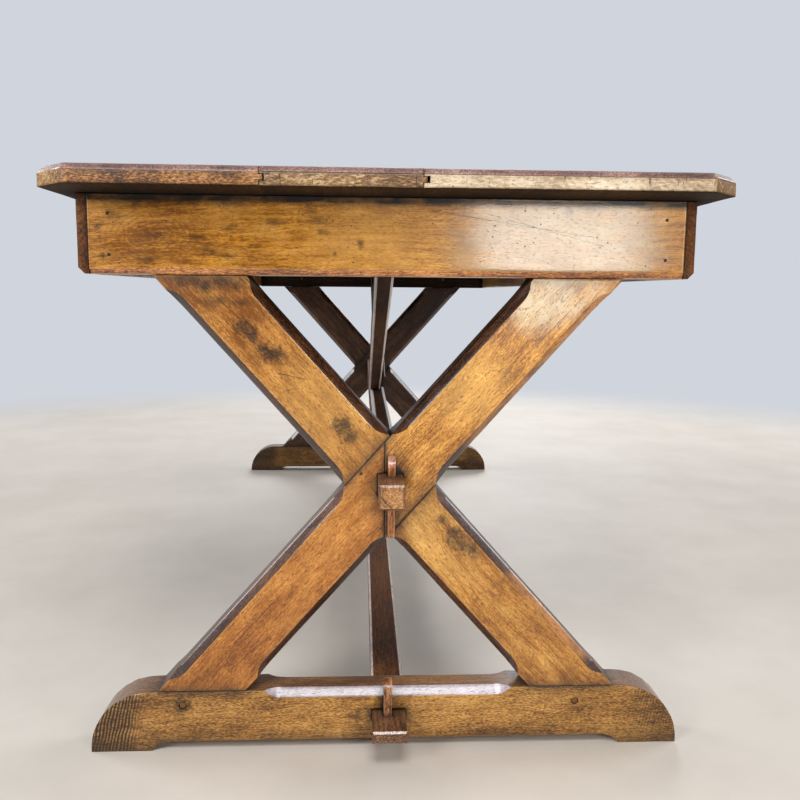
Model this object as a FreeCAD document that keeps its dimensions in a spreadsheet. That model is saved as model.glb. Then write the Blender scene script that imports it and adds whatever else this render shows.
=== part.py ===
import FreeCAD, Part
import math
import os
import re
import Sketcher
from FreeCAD import Placement, Rotation, Vector

# A knock-down sawbuck table: a boarded top on an apron, carried by two X trestles on sledge feet.
# Two stretchers run from trestle to trestle. Their tusk tenons are drawn up by loose wedges.
# Frame: +Z up, Y along the table, X across it, origin on the floor under the middle of the top.
# Each trestle is modelled about its own middle plane, outer side towards -Y; the back one is turned round.

DRIVING_SIZES = {
    # top
    "table_height": 760.0,
    "top_width": 836.0,
    "top_overhang": 90.0,
    "board_thick": 24.5,
    "corner_clip": 42.0,
    "top_arris": 7.5,
    "board_joint_left": -155.0,
    "board_joint_right": 33.0,
    "tongue_thick": 7.0,
    "tongue_depth": 5.0,
    "tongue_rise": 6.5,
    "tongue_gap_left": 0.4,
    "tongue_gap_right": 1.8,
    # apron
    "apron_height": 98.5,
    "side_overhang": 28.0,
    "side_apron_thick": 14.0,
    "side_apron_arris": 8.0,
    "end_apron_thick": 22.0,
    "end_apron_proud": 2.0,
    "end_apron_arris": 8.0,
    # trestles
    "trestle_span": 1701.0,
    "trestle_thick": 50.0,
    "leg_width": 88.0,
    "leg_slope": 48.3,
    "crossing_height": 366.0,
    "half_leg_joint": -7.0,
    "leg_chamfer": 10.0,
    "chamfer_run_radius": 40.0,
    "chamfer_stop_crossing": 3.0,
    "chamfer_stop_foot": 24.0,
    "chamfer_stop_top_outer": 24.0,
    "chamfer_stop_top_inner": 6.0,
    "leg_tenon_width": 70.0,
    "foot_tenon_depth": 45.0,
    "foot_tenon_thick": 16.0,
    "rail_tenon_depth": 55.0,
    "rail_tenon_thick": 12.0,
    # foot
    "foot_toe_reach": 148.75,
    "foot_height": 84.0,
    "toe_radius": 80.0,
    "pad_length": 80.0,
    "pad_relief": 12.0,
    "pad_slope_run": 22.0,
    "pad_cove_radius": 30.0,
    "foot_chamfer": 10.5,
    "foot_chamfer_short": 24.3,
    "back_foot_toe_extra": 20.0,
    # mid stretcher
    "mid_width": 34.0,
    "mid_height": 66.0,
    "mid_top_rise": 26.0,
    "mid_chamfer": 7.0,
    "mid_tenon_width": 33.0,
    "mid_tenon_height": 32.0,
    "mid_tenon_rise": 17.0,
    "mid_tenon_proud": 70.0,
    # low stretcher
    "low_width": 47.0,
    "low_height": 34.0,
    "low_top_height": 62.0,
    "low_chamfer": 4.0,
    "low_tenon_width": 46.0,
    "low_tenon_height": 17.0,
    "low_tenon_drop": 7.0,
    "low_tenon_proud": 60.0,
    "tenon_end_chamfer": 2.5,
    "stretcher_chamfer_stop": 18.0,
    # wedges
    "mid_wedge_thick": 10.0,
    "mid_wedge_above": 24.0,
    "mid_wedge_below": 52.0,
    "mid_wedge_head": 24.0,
    "mid_wedge_toe": 13.0,
    "mid_slot_shift": 1.5,
    "low_wedge_thick": 11.5,
    "low_wedge_above": 46.0,
    "low_wedge_below": 16.0,
    "low_wedge_head": 23.0,
    "low_wedge_toe": 14.0,
    "low_slot_shift": -1.5,
    "wedge_crown": 15.0,
    "wedge_back_relief": 4.0,
    # struts
    "strut_width": 27.0,
    "strut_depth": 47.0,
    "strut_seat": 60.0,
    "strut_above_apron": 3.0,
    "strut_shift": 7.0,
    "strut_chamfer": 4.0,
    # hidden carcass pieces
    "batten_width": 60.0,
    "batten_depth": 32.0,
    "glue_block_length": 80.0,
    "glue_block_side": 24.0,
    "glue_block_pitch": 330.0,
    # pegs and nails
    "foot_peg_radius": 5.0,
    "foot_peg_left_shift": -26.0,
    "foot_peg_left_drop": 20.0,
    "foot_peg_right_shift": 5.0,
    "foot_peg_right_drop": 21.5,
    "rail_peg_radius": 4.0,
    "strut_peg_radius": 5.0,
    "strut_peg_place": 35.0,
    "strut_peg_depth": 34.0,
    "nail_side": 3.2,
    "face_nail_length": 40.0,
    "side_nail_length": 30.0,
    "nail_edge": 24.0,
    "nail_stagger": 10.0,
    "nail_share": 0.75,
    "lap_nail_length": 34.0,
    "lap_nail_left": -38.0,
    "lap_nail_left_rise": 16.0,
    "lap_nail_right": 6.0,
    "lap_nail_right_rise": -39.0,
    # clearances
    "joint_gap": 0.1,
    "peg_gap": 0.1,
    "key_side_gap": 0.4,
    "key_face_gap": 0.15,
}

doc = FreeCAD.newDocument("SawbuckTable")
sheet = doc.addObject("Spreadsheet::Sheet", "Sizes")
for row, (alias, number) in enumerate(DRIVING_SIZES.items(), start=1):
    sheet.set(f"A{row}", alias)
    sheet.set(f"B{row}", str(number))
    sheet.setAlias(f"B{row}", alias)
doc.recompute()

ALIAS = re.compile(r"\b(" + "|".join(DRIVING_SIZES) + r")\b")
parts = []


def value(formula):
    """Work out a formula of sheet aliases as a plain number."""
    return float(sheet.evalExpression(str(formula)))


def bind(target, path, formula):
    """Tie one property of an object to a formula of sheet aliases."""
    target.setExpression(path, ALIAS.sub(r"Sizes.\1", str(formula)))


# ---------------------------------------------------------------- formulas that several pieces share

UNDERSIDE = "(table_height - board_thick)"
APRON_BOTTOM = "(table_height - board_thick - apron_height)"
APRON_OUTER = "(top_width / 2 - side_overhang)"
APRON_INNER = "(top_width / 2 - side_overhang - side_apron_thick)"
TRESTLE_MIDDLE = "(trestle_span / 2 + trestle_thick / 2)"
TRESTLE_INNER = "(trestle_span / 2)"
TRESTLE_OUTER = "(trestle_span / 2 + trestle_thick)"
APRON_END = "(trestle_span / 2 + trestle_thick + end_apron_proud)"
TOP_HALF_LENGTH = "(trestle_span / 2 + trestle_thick + top_overhang)"
RAIL_THICK = "(trestle_thick + end_apron_proud - end_apron_thick)"
RAIL_MIDDLE = f"(trestle_thick / 2 - {RAIL_THICK} / 2)"
BAR_TOP = {"mid": "(crossing_height + mid_top_rise)", "low": "low_top_height"}
TENON_TOP = {"mid": "(crossing_height + mid_tenon_rise)", "low": "(low_top_height - low_tenon_drop)"}
TENON_BOTTOM = {kind: f"({TENON_TOP[kind]} - {kind}_tenon_height)" for kind in TENON_TOP}
WEDGE_TOP = {kind: f"({TENON_TOP[kind]} + {kind}_wedge_above)" for kind in TENON_TOP}
WEDGE_BOTTOM = {kind: f"({TENON_BOTTOM[kind]} - {kind}_wedge_below)" for kind in TENON_TOP}
LEG_ANGLE = "(leg_slope * 1deg)"
BACK_LEG_ANGLE = "((180 - leg_slope) * 1deg)"
FOOT_JOINT_OUT = f"((crossing_height - foot_height) / tan({LEG_ANGLE}))"
RAIL_JOINT_OUT = f"(({APRON_BOTTOM} - crossing_height) / tan({LEG_ANGLE}))"
RAIL_PLACE = f"({TRESTLE_INNER} + {RAIL_THICK} / 2)"
RAIL_FACE = "(trestle_thick / 2 + end_apron_proud - end_apron_thick)"
FOOT_HALF = f"({FOOT_JOINT_OUT} + foot_toe_reach)"
FOOT_CHAMFER_HALF = f"({FOOT_JOINT_OUT} - leg_width / (2 * sin({LEG_ANGLE})) - foot_chamfer_short)"
FOOT_PEG_OUT = {
    "left": f"(-{FOOT_JOINT_OUT} + foot_peg_left_shift)",
    "right": f"({FOOT_JOINT_OUT} + foot_peg_right_shift)",
}
STRUT_HEEL = f"({APRON_BOTTOM} + strut_above_apron)"
STRUT_RISE = f"(({STRUT_HEEL} - {BAR_TOP['mid']}) / ({TRESTLE_INNER} - strut_seat))"
STRUT_PEG_REACH = f"(strut_depth - {STRUT_RISE} * (strut_seat - strut_peg_place + strut_peg_radius))"
RAIL_TENON_OUTER = f"({RAIL_JOINT_OUT} + leg_tenon_width / 2)"
FACE_NAIL_LEVELS = (f"({APRON_BOTTOM} + nail_edge)", f"({UNDERSIDE} - nail_edge)")
SIDE_NAIL_LEVELS = (f"({APRON_BOTTOM} + nail_edge + nail_stagger)", f"({UNDERSIDE} - nail_edge - nail_stagger)")
FACE_NAIL_OUT = f"({RAIL_TENON_OUTER} + nail_share * ({APRON_INNER} - {RAIL_TENON_OUTER}))"
NAIL_HOLE = "(nail_side + 2 * peg_gap)"


# ---------------------------------------------------------------- ways to make a piece

def new_body(label, base=("0", "0", "0"), rotation=Rotation()):
    """Start a body whose file name is its label, standing at a place given by three formulas."""
    body = doc.addObject("PartDesign::Body", label)
    body.Label = label
    body.Placement = Placement(Vector(*(value(part) for part in base)), rotation)
    for axis, formula in zip("xyz", base):
        bind(body, f"Placement.Base.{axis}", formula)
    parts.append(body)
    return body


def new_sketch(body, name, role="XZ_Plane", offset=("0", "0", "0"), turn=0.0):
    """Put a sketch on one of the body's own planes, shifted in that plane's axes and turned about its X."""
    sketch = body.newObject("Sketcher::SketchObject", name)
    plane = [item for item in body.Origin.OriginFeatures if item.Role == role][0]
    sketch.AttachmentSupport = [(plane, "")]
    sketch.MapMode = "FlatFace"
    start = Vector(*(value(part) for part in offset))
    sketch.AttachmentOffset = Placement(start, Rotation(Vector(1, 0, 0), turn))
    for axis, formula in zip("xyz", offset):
        bind(sketch, f"AttachmentOffset.Base.{axis}", formula)
    return sketch


def arc_between(start, end, radius, side):
    """Give the shorter arc of a radius between two points; side says where its centre lies."""
    chord = end - start
    middle = (start + end) / 2
    across = Vector(-chord.y, chord.x, 0).normalize()
    reach = math.sqrt(radius ** 2 - (chord.Length / 2) ** 2)
    centre = middle + across * reach * side
    crown = centre + (middle - centre).normalize() * radius
    return Part.Arc(start, crown, end)


def draw_outline(sketch, corners):
    """Close an outline through corners of (x, y) or (x, y, radius, side), where an arc leaves the corner."""
    points = [Vector(value(corner[0]), value(corner[1]), 0) for corner in corners]
    count = len(corners)
    starts = []
    for index, corner in enumerate(corners):
        start = points[index]
        end = points[(index + 1) % count]
        if len(corner) == 2:
            geometry = sketch.addGeometry(Part.LineSegment(start, end))
            starts.append((geometry, 1, 2))
            continue
        geometry = sketch.addGeometry(arc_between(start, end, value(corner[2]), corner[3]))
        runs_on = sketch.getPoint(geometry, 1).distanceToPoint(start) < 1e-6
        starts.append((geometry, 1, 2) if runs_on else (geometry, 2, 1))
        number = sketch.addConstraint(Sketcher.Constraint("Radius", geometry, value(corner[2])))
        bind(sketch, f"Constraints[{number}]", corner[2])
    for index, corner in enumerate(corners):
        geometry, start_end, far_end = starts[index]
        following = starts[(index + 1) % count]
        sketch.addConstraint(Sketcher.Constraint("Coincident", geometry, far_end, following[0], following[1]))
        for kind, formula in (("DistanceX", corner[0]), ("DistanceY", corner[1])):
            rule = Sketcher.Constraint(kind, -1, 1, geometry, start_end, value(formula))
            number = sketch.addConstraint(rule)
            bind(sketch, f"Constraints[{number}]", formula)


def draw_circle(sketch, x, y, radius):
    """Draw one circle from three formulas."""
    circle = Part.Circle(Vector(value(x), value(y), 0), Vector(0, 0, 1), value(radius))
    geometry = sketch.addGeometry(circle)
    rules = (
        (Sketcher.Constraint("Radius", geometry, value(radius)), radius),
        (Sketcher.Constraint("DistanceX", -1, 1, geometry, 3, value(x)), x),
        (Sketcher.Constraint("DistanceY", -1, 1, geometry, 3, value(y)), y),
    )
    for rule, formula in rules:
        number = sketch.addConstraint(rule)
        bind(sketch, f"Constraints[{number}]", formula)


def box_corners(x_low, x_high, y_low, y_high):
    """List the corners of an upright rectangle."""
    return [(x_low, y_low), (x_high, y_low), (x_high, y_high), (x_low, y_high)]


def square_about(x, y, side):
    """List the corners of a square about its middle."""
    half = f"({side} / 2)"
    return box_corners(f"({x}) - {half}", f"({x}) + {half}", f"({y}) - {half}", f"({y}) + {half}")


def add_pad(body, name, sketch, thick):
    """Pad a sketch half to each side of its plane."""
    feature = body.newObject("PartDesign::Pad", name)
    feature.Profile = sketch
    feature.SideType = "Symmetric"
    bind(feature, "Length", thick)
    sketch.Visibility = False
    return feature


def add_pocket(body, name, sketch, thick):
    """Cut a sketch half to each side of its plane, and check that wood came away."""
    doc.recompute()
    before = body.Shape.Volume
    feature = body.newObject("PartDesign::Pocket", name)
    feature.Profile = sketch
    feature.SideType = "Symmetric"
    bind(feature, "Length", thick)
    sketch.Visibility = False
    doc.recompute()
    if body.Shape.Volume > before - 1e-3:
        raise RuntimeError(f"{body.Label}: {name} cuts nothing")
    return feature


def add_chamfer(body, name, size, wanted):
    """Chamfer the edges of the body's tip that a test picks out."""
    doc.recompute()
    tip = body.Tip
    edges = [f"Edge{number}" for number, edge in enumerate(tip.Shape.Edges, start=1) if wanted(edge)]
    feature = body.newObject("PartDesign::Chamfer", name)
    feature.Base = (tip, edges)
    bind(feature, "Size", size)
    doc.recompute()
    return feature


def stopped_chamfer(body, name, start, end, side_y, side_z, arris_y, arris_z, size):
    """Take a stopped chamfer off an arris that runs along X, with a round run-out at each stop."""
    turn = math.degrees(math.atan2(-side_z, -side_y))
    sketch = new_sketch(body, f"{name}_sketch", "XY_Plane", ("0", arris_y, arris_z), turn)
    depth = f"(({size}) / sqrt(2))"
    run = f"sqrt(2 * chamfer_run_radius * {depth} - {depth} ^ 2)"
    clear = f"(-{depth})"
    corners = [
        (start, clear),
        (start, "0", "chamfer_run_radius", -1),
        (f"({start}) + {run}", depth),
        (f"({end}) - {run}", depth, "chamfer_run_radius", -1),
        (end, "0"),
        (end, clear),
    ]
    draw_outline(sketch, corners)
    add_pocket(body, name, sketch, f"4 * ({size})")


def group(label, pieces):
    """Hold separate equal solids in one node."""
    compound = doc.addObject("Part::Compound", label)
    compound.Label = label
    compound.Links = pieces
    parts.append(compound)
    return compound


def peg(name, radius, length, base, direction):
    """Make one round peg from its base point, pointing along a direction."""
    cylinder = doc.addObject("Part::Cylinder", name)
    bind(cylinder, "Radius", radius)
    bind(cylinder, "Height", length)
    place = Vector(*(value(part) for part in base))
    cylinder.Placement = Placement(place, Rotation(Vector(0, 0, 1), Vector(*direction)))
    for axis, formula in zip("xyz", base):
        bind(cylinder, f"Placement.Base.{axis}", formula)
    return cylinder


def nail(name, length, start, axis, direction):
    """Make one square cut nail from the middle of its head, running along an axis."""
    sizes = ["nail_side", "nail_side", "nail_side"]
    low = [f"({part}) - nail_side / 2" for part in start]
    sizes[axis] = length
    low[axis] = start[axis] if direction > 0 else f"({start[axis]}) - {length}"
    return block(name, sizes, low)


def block(name, sizes, base):
    """Make one rectangular block from its lowest corner."""
    box = doc.addObject("Part::Box", name)
    for side, formula in zip(("Length", "Width", "Height"), sizes):
        bind(box, side, formula)
    for axis, formula in zip("xyz", base):
        bind(box, f"Placement.Base.{axis}", formula)
    return box


ENDS = (("front", -1, Rotation()), ("back", 1, Rotation(Vector(0, 0, 1), 180)))


# ---------------------------------------------------------------- the top

def add_tongue(tongued, grooved, side):
    """Run a tongue along one board's edge into the next board's groove, which is a little deeper."""
    joint = f"board_joint_{side}"
    low = "(tongue_rise - board_thick / 2)"
    high = "(tongue_rise + tongue_thick - board_thick / 2)"
    length = f"2 * {TOP_HALF_LENGTH}"
    tongue = new_sketch(tongued, f"tongue_{side}_section")
    draw_outline(tongue, box_corners(joint, f"{joint} + tongue_depth", low, high))
    add_pad(tongued, f"tongue_{side}", tongue, length)
    groove = new_sketch(grooved, f"groove_{side}_section")
    draw_outline(groove, box_corners(joint, f"{joint} + tongue_depth + tongue_gap_{side}", low, high))
    add_pocket(grooved, f"groove_{side}", groove, length)


def make_top():
    """Three boards side by side, tongued together. The outer two carry the clipped corners."""
    left = "(-top_width / 2)"
    right = "(top_width / 2)"
    near = f"(-{TOP_HALF_LENGTH})"
    far = TOP_HALF_LENGTH
    outlines = {
        "top_board_left": [
            ("board_joint_left", near), ("board_joint_left", far),
            (f"{left} + corner_clip", far), (left, f"{far} - corner_clip"),
            (left, f"{near} + corner_clip"), (f"{left} + corner_clip", near),
        ],
        "top_board_middle": box_corners("board_joint_left", "board_joint_right", near, far),
        "top_board_right": [
            ("board_joint_right", near), (f"{right} - corner_clip", near),
            (right, f"{near} + corner_clip"), (right, f"{far} - corner_clip"),
            (f"{right} - corner_clip", far), ("board_joint_right", far),
        ],
    }
    joints = (value("board_joint_left"), value("board_joint_right"))
    boards = {}
    for label, corners in outlines.items():
        body = new_body(label, ("0", "0", "table_height - board_thick / 2"))
        sketch = new_sketch(body, f"{label}_outline", "XY_Plane")
        draw_outline(sketch, corners)
        add_pad(body, f"{label}_board", sketch, "board_thick")

        def on_outer_top(edge):
            level = edge.BoundBox.ZMin > value("board_thick / 2") - 0.01
            along_joint = any(
                abs(edge.BoundBox.XMin - joint) < 0.01 and abs(edge.BoundBox.XMax - joint) < 0.01
                for joint in joints
            )
            return level and not along_joint

        add_chamfer(body, f"{label}_arris", "top_arris", on_outer_top)
        boards[label] = body
    add_tongue(boards["top_board_left"], boards["top_board_middle"], "left")
    add_tongue(boards["top_board_middle"], boards["top_board_right"], "right")


# ---------------------------------------------------------------- the apron and what it hides

def make_aprons():
    """Side aprons run the full length. End aprons stand between them, against the trestle rails."""
    for side, sign in (("left", -1), ("right", 1)):
        outer = f"({sign} * {APRON_OUTER})"
        inner = f"({sign} * {APRON_INNER})"
        body = new_body(f"side_apron_{side}")
        sketch = new_sketch(body, f"side_apron_{side}_section")
        corners = [
            (inner, APRON_BOTTOM),
            (f"{outer} - {sign} * side_apron_arris", APRON_BOTTOM),
            (outer, f"{APRON_BOTTOM} + side_apron_arris"),
            (outer, UNDERSIDE),
            (inner, UNDERSIDE),
        ]
        draw_outline(sketch, corners)
        add_pad(body, f"side_apron_{side}_board", sketch, f"2 * {APRON_END}")
        holes = new_sketch(body, f"side_apron_{side}_nail_holes", "YZ_Plane")
        for end_sign in (-1, 1):
            for level in SIDE_NAIL_LEVELS:
                draw_outline(holes, square_about(f"{end_sign} * {RAIL_PLACE}", level, NAIL_HOLE))
        add_pocket(body, f"side_apron_{side}_nails", holes, "2 * top_width")
    for end, sign, _ in ENDS:
        outer = f"({sign} * {APRON_END})"
        inner = f"({sign} * ({APRON_END} - end_apron_thick))"
        body = new_body(f"end_apron_{end}")
        sketch = new_sketch(body, f"end_apron_{end}_section", "YZ_Plane")
        corners = [
            (inner, APRON_BOTTOM),
            (f"{outer} - {sign} * end_apron_arris / 2", APRON_BOTTOM),
            (outer, f"{APRON_BOTTOM} + end_apron_arris"),
            (outer, UNDERSIDE),
            (inner, UNDERSIDE),
        ]
        draw_outline(sketch, corners)
        add_pad(body, f"end_apron_{end}_board", sketch, f"2 * {APRON_INNER}")
        holes = new_sketch(body, f"end_apron_{end}_nail_holes")
        for side in (-1, 1):
            for level in FACE_NAIL_LEVELS:
                draw_outline(holes, square_about(f"{side} * {FACE_NAIL_OUT}", level, NAIL_HOLE))
        add_pocket(body, f"end_apron_{end}_nails", holes, f"4 * {APRON_END}")


def make_carcass_blocks():
    """A batten holds the boards flat at mid length. Glue blocks line the side aprons."""
    batten = block(
        "top_batten",
        (f"2 * {APRON_INNER}", "batten_width", "batten_depth"),
        (f"-{APRON_INNER}", "-batten_width / 2", f"{UNDERSIDE} - batten_depth"),
    )
    batten.Label = "top_batten"
    parts.append(batten)
    for side, low_x in (("left", f"-{APRON_INNER}"), ("right", f"{APRON_INNER} - glue_block_side")):
        blocks = []
        for step in (-2, -1, 1, 2):
            low_y = f"{step} * glue_block_pitch - glue_block_length / 2"
            sizes = ("glue_block_side", "glue_block_length", "glue_block_side")
            low = (low_x, low_y, f"{UNDERSIDE} - glue_block_side")
            blocks.append(block(f"glue_block_{side}_{step + 3}", sizes, low))
        group(f"glue_blocks_{side}", blocks)


def make_apron_nails():
    """Nails through the end aprons into the rails, and through the side aprons into the rails' ends."""
    for end, sign, _ in ENDS:
        nails = []
        for side in (-1, 1):
            for level in FACE_NAIL_LEVELS:
                face = (f"{side} * {FACE_NAIL_OUT}", f"{sign} * {APRON_END}", level)
                nails.append(nail(f"face_nail_{end}_{len(nails)}", "face_nail_length", face, 1, -sign))
            for level in SIDE_NAIL_LEVELS:
                edge = (f"{side} * {APRON_OUTER}", f"{sign} * {RAIL_PLACE}", level)
                nails.append(nail(f"side_nail_{end}_{len(nails)}", "side_nail_length", edge, 0, -side))
        group(f"apron_nails_{end}", nails)


# ---------------------------------------------------------------- trestles

def to_leg(x, z, angle):
    """Turn a point given across the table and above the crossing into a leg's own length and width."""
    along = f"(({x}) * cos({angle}) + ({z}) * sin({angle}))"
    across = f"(({z}) * cos({angle}) - ({x}) * sin({angle}))"
    return along, across


def at_level(height, across, angle):
    """Give the place along a leg where a line at a set width crosses a level above the crossing."""
    return f"((({height}) - ({across}) * cos({angle})) / sin({angle}))"


def at_upright(x, across, angle):
    """Give the place along a leg where a line at a set width crosses an upright plane."""
    return f"((({x}) + ({across}) * sin({angle})) / cos({angle}))"


def at_other_leg(side, across, angle, other):
    """Give the place along a leg where a line at a set width meets one edge of the other leg."""
    return f"(({side} * leg_width / 2 - ({across}) * cos({angle} - {other})) / sin({angle} - {other}))"


LEG_EDGES = ("(-leg_width / 2)", "(leg_width / 2)")
TOP_STOPS = {True: "chamfer_stop_top_outer", False: "chamfer_stop_top_inner"}
FOOT_LEVEL = "(foot_height - crossing_height)"
RAIL_LEVEL = f"({APRON_BOTTOM} - crossing_height)"


def leg_tenon(body, name, out, level, depth, thick, angle, shift):
    """Add an upright tenon where a leg stands on the foot or runs up into the rail."""
    low, high = (f"({level} - {depth})", f"({level} + leg_width / 4)")
    if depth == "rail_tenon_depth":
        low, high = (f"({level} - leg_width / 4)", f"({level} + {depth})")
    corners = box_corners(f"({out} - leg_tenon_width / 2)", f"({out} + leg_tenon_width / 2)", low, high)
    sketch = new_sketch(body, f"{name}_outline", "XZ_Plane", ("0", "0", f"-({shift})"))
    draw_outline(sketch, [to_leg(x, z, angle) for x, z in corners])
    add_pad(body, name, sketch, thick)


def mortise_through(body, name, angle):
    """Cut the hole for the mid stretcher's tenon through a leg."""
    half = "(mid_tenon_width / 2 + joint_gap)"
    high = "(mid_tenon_rise + joint_gap)"
    low = "(mid_tenon_rise - mid_tenon_height - joint_gap)"
    sketch = new_sketch(body, f"{name}_outline")
    corners = box_corners(f"-{half}", half, low, high)
    draw_outline(sketch, [to_leg(x, z, angle) for x, z in corners])
    add_pocket(body, name, sketch, "2 * trestle_thick")


def leg_chamfers(body, spans):
    """Run a stopped chamfer down every long arris of a leg, one for each clear span."""
    number = 0
    for side_z, across in zip((-1, 1), LEG_EDGES):
        for start, end in spans(across):
            for side_y in (-1, 1):
                number += 1
                arris_y = f"({side_y} * trestle_thick / 2)"
                name = f"{body.Label}_chamfer_{number}"
                stopped_chamfer(body, name, start, end, side_y, side_z, arris_y, across, "leg_chamfer")


def make_through_leg(end, sign, turn):
    """The leg that runs from foot to rail in one piece, with the outer half notched at the crossing."""
    angle = BACK_LEG_ANGLE
    slope = Rotation(Vector(0, 1, 0), -(180 - value("leg_slope")))
    base = ("0", f"{sign} * {TRESTLE_MIDDLE}", "crossing_height")
    body = new_body(f"leg_through_{end}", base, turn * slope)
    low, high = LEG_EDGES
    corners = [
        (at_level(FOOT_LEVEL, low, angle), low),
        (at_level(RAIL_LEVEL, low, angle), low),
        (at_level(RAIL_LEVEL, high, angle), high),
        (at_level(FOOT_LEVEL, high, angle), high),
    ]
    sketch = new_sketch(body, f"leg_through_{end}_outline")
    draw_outline(sketch, corners)
    add_pad(body, f"leg_through_{end}_bar", sketch, "trestle_thick")
    leg_tenon(body, f"leg_through_{end}_foot_tenon", FOOT_JOINT_OUT, FOOT_LEVEL,
              "foot_tenon_depth", "foot_tenon_thick", angle, "0")
    leg_tenon(body, f"leg_through_{end}_rail_tenon", f"(-{RAIL_JOINT_OUT})", RAIL_LEVEL,
              "rail_tenon_depth", "rail_tenon_thick", angle, RAIL_MIDDLE)
    margin = "leg_width"
    notch = []
    for side, across in ((-1, f"(-{margin})"), (1, f"(-{margin})"), (1, margin), (-1, margin)):
        notch.append((at_other_leg(side, across, angle, LEG_ANGLE), across))
    lap = new_sketch(body, f"leg_through_{end}_lap_outline", "XZ_Plane", ("0", "0", "trestle_thick / 2"))
    draw_outline(lap, notch)
    add_pocket(body, f"leg_through_{end}_lap", lap, "trestle_thick")
    mortise_through(body, f"leg_through_{end}_mortise", angle)

    def spans(across):
        edges = sorted(
            (at_other_leg(side, across, angle, LEG_ANGLE) for side in (-1, 1)),
            key=value,
        )
        stop = TOP_STOPS[across == high]
        return (
            (f"({at_level(FOOT_LEVEL, across, angle)} + chamfer_stop_foot)", f"({edges[0]} - chamfer_stop_crossing)"),
            (f"({edges[1]} + chamfer_stop_crossing)", f"({at_level(RAIL_LEVEL, across, angle)} - {stop})"),
        )

    leg_chamfers(body, spans)
    peg_holes(body, f"leg_through_{end}_foot_peg", angle, FOOT_PEG_OUT["right"],
              f"({FOOT_LEVEL} - foot_peg_right_drop)", "foot_peg_radius")
    peg_holes(body, f"leg_through_{end}_rail_peg", angle, f"(-{RAIL_JOINT_OUT})",
              f"({RAIL_LEVEL} + rail_tenon_depth / 2)", "rail_peg_radius")
    for side in ("left", "right"):
        lap_nail_hole(body, side, angle, "2 * (lap_nail_length - trestle_thick / 2 + joint_gap)")


def lap_nail_hole(body, side, angle, cut):
    """Cut the square hole of one nail of the lapped crossing, half to each side of the leg's middle plane."""
    name = f"{body.Label}_nail_{side}"
    sketch = new_sketch(body, f"{name}_outline")
    corners = square_about(f"lap_nail_{side}", f"lap_nail_{side}_rise", NAIL_HOLE)
    draw_outline(sketch, [to_leg(x, z, angle) for x, z in corners])
    add_pocket(body, name, sketch, cut)


def peg_holes(body, name, angle, x, z, radius):
    """Bore one peg hole through a leg's tenon."""
    sketch = new_sketch(body, f"{name}_circle")
    along, across = to_leg(x, z, angle)
    draw_circle(sketch, along, across, f"{radius} + peg_gap")
    add_pocket(body, name, sketch, "2 * trestle_thick")


def make_half_leg(end, sign, turn, upper):
    """A leg that stops on the upright joint at the crossing, lapped over the leg that runs through."""
    angle = LEG_ANGLE
    half = "upper" if upper else "lower"
    label = f"leg_{half}_{end}"
    slope = Rotation(Vector(0, 1, 0), -value("leg_slope"))
    base = ("0", f"{sign} * {TRESTLE_MIDDLE}", "crossing_height")
    body = new_body(label, base, turn * slope)
    low, high = LEG_EDGES
    level = RAIL_LEVEL if upper else FOOT_LEVEL
    corners = [
        (at_level(level, low, angle), low),
        (at_upright("half_leg_joint", low, angle), low),
        (at_upright("half_leg_joint", high, angle), high),
        (at_level(level, high, angle), high),
    ]
    sketch = new_sketch(body, f"{label}_outline")
    draw_outline(sketch, corners)
    add_pad(body, f"{label}_bar", sketch, "trestle_thick")
    if upper:
        leg_tenon(body, f"{label}_rail_tenon", RAIL_JOINT_OUT, RAIL_LEVEL,
                  "rail_tenon_depth", "rail_tenon_thick", angle, RAIL_MIDDLE)
    else:
        leg_tenon(body, f"{label}_foot_tenon", f"(-{FOOT_JOINT_OUT})", FOOT_LEVEL,
                  "foot_tenon_depth", "foot_tenon_thick", angle, "0")
    margin = "leg_width"
    notch = []
    for side, across in ((-1, f"(-{margin})"), (1, f"(-{margin})"), (1, margin), (-1, margin)):
        notch.append((at_other_leg(side, across, angle, BACK_LEG_ANGLE), across))
    lap = new_sketch(body, f"{label}_lap_outline", "XZ_Plane", ("0", "0", "-trestle_thick / 2"))
    draw_outline(lap, notch)
    add_pocket(body, f"{label}_lap", lap, "trestle_thick")
    mortise_through(body, f"{label}_mortise", angle)

    def spans(across):
        edges = sorted(
            (at_other_leg(side, across, angle, BACK_LEG_ANGLE) for side in (-1, 1)),
            key=value,
        )
        if upper:
            stop = TOP_STOPS[across == low]
            end = f"({at_level(RAIL_LEVEL, across, angle)} - {stop})"
            return ((f"({edges[1]} + chamfer_stop_crossing)", end),)
        start = f"({at_level(FOOT_LEVEL, across, angle)} + chamfer_stop_foot)"
        return ((start, f"({edges[0]} - chamfer_stop_crossing)"),)

    leg_chamfers(body, spans)
    if upper:
        peg_holes(body, f"{label}_rail_peg", angle, RAIL_JOINT_OUT,
                  f"({RAIL_LEVEL} + rail_tenon_depth / 2)", "rail_peg_radius")
    else:
        peg_holes(body, f"{label}_foot_peg", angle, FOOT_PEG_OUT["left"],
                  f"({FOOT_LEVEL} - foot_peg_left_drop)", "foot_peg_radius")
    lap_nail_hole(body, "right" if upper else "left", angle, "2 * trestle_thick")


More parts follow.
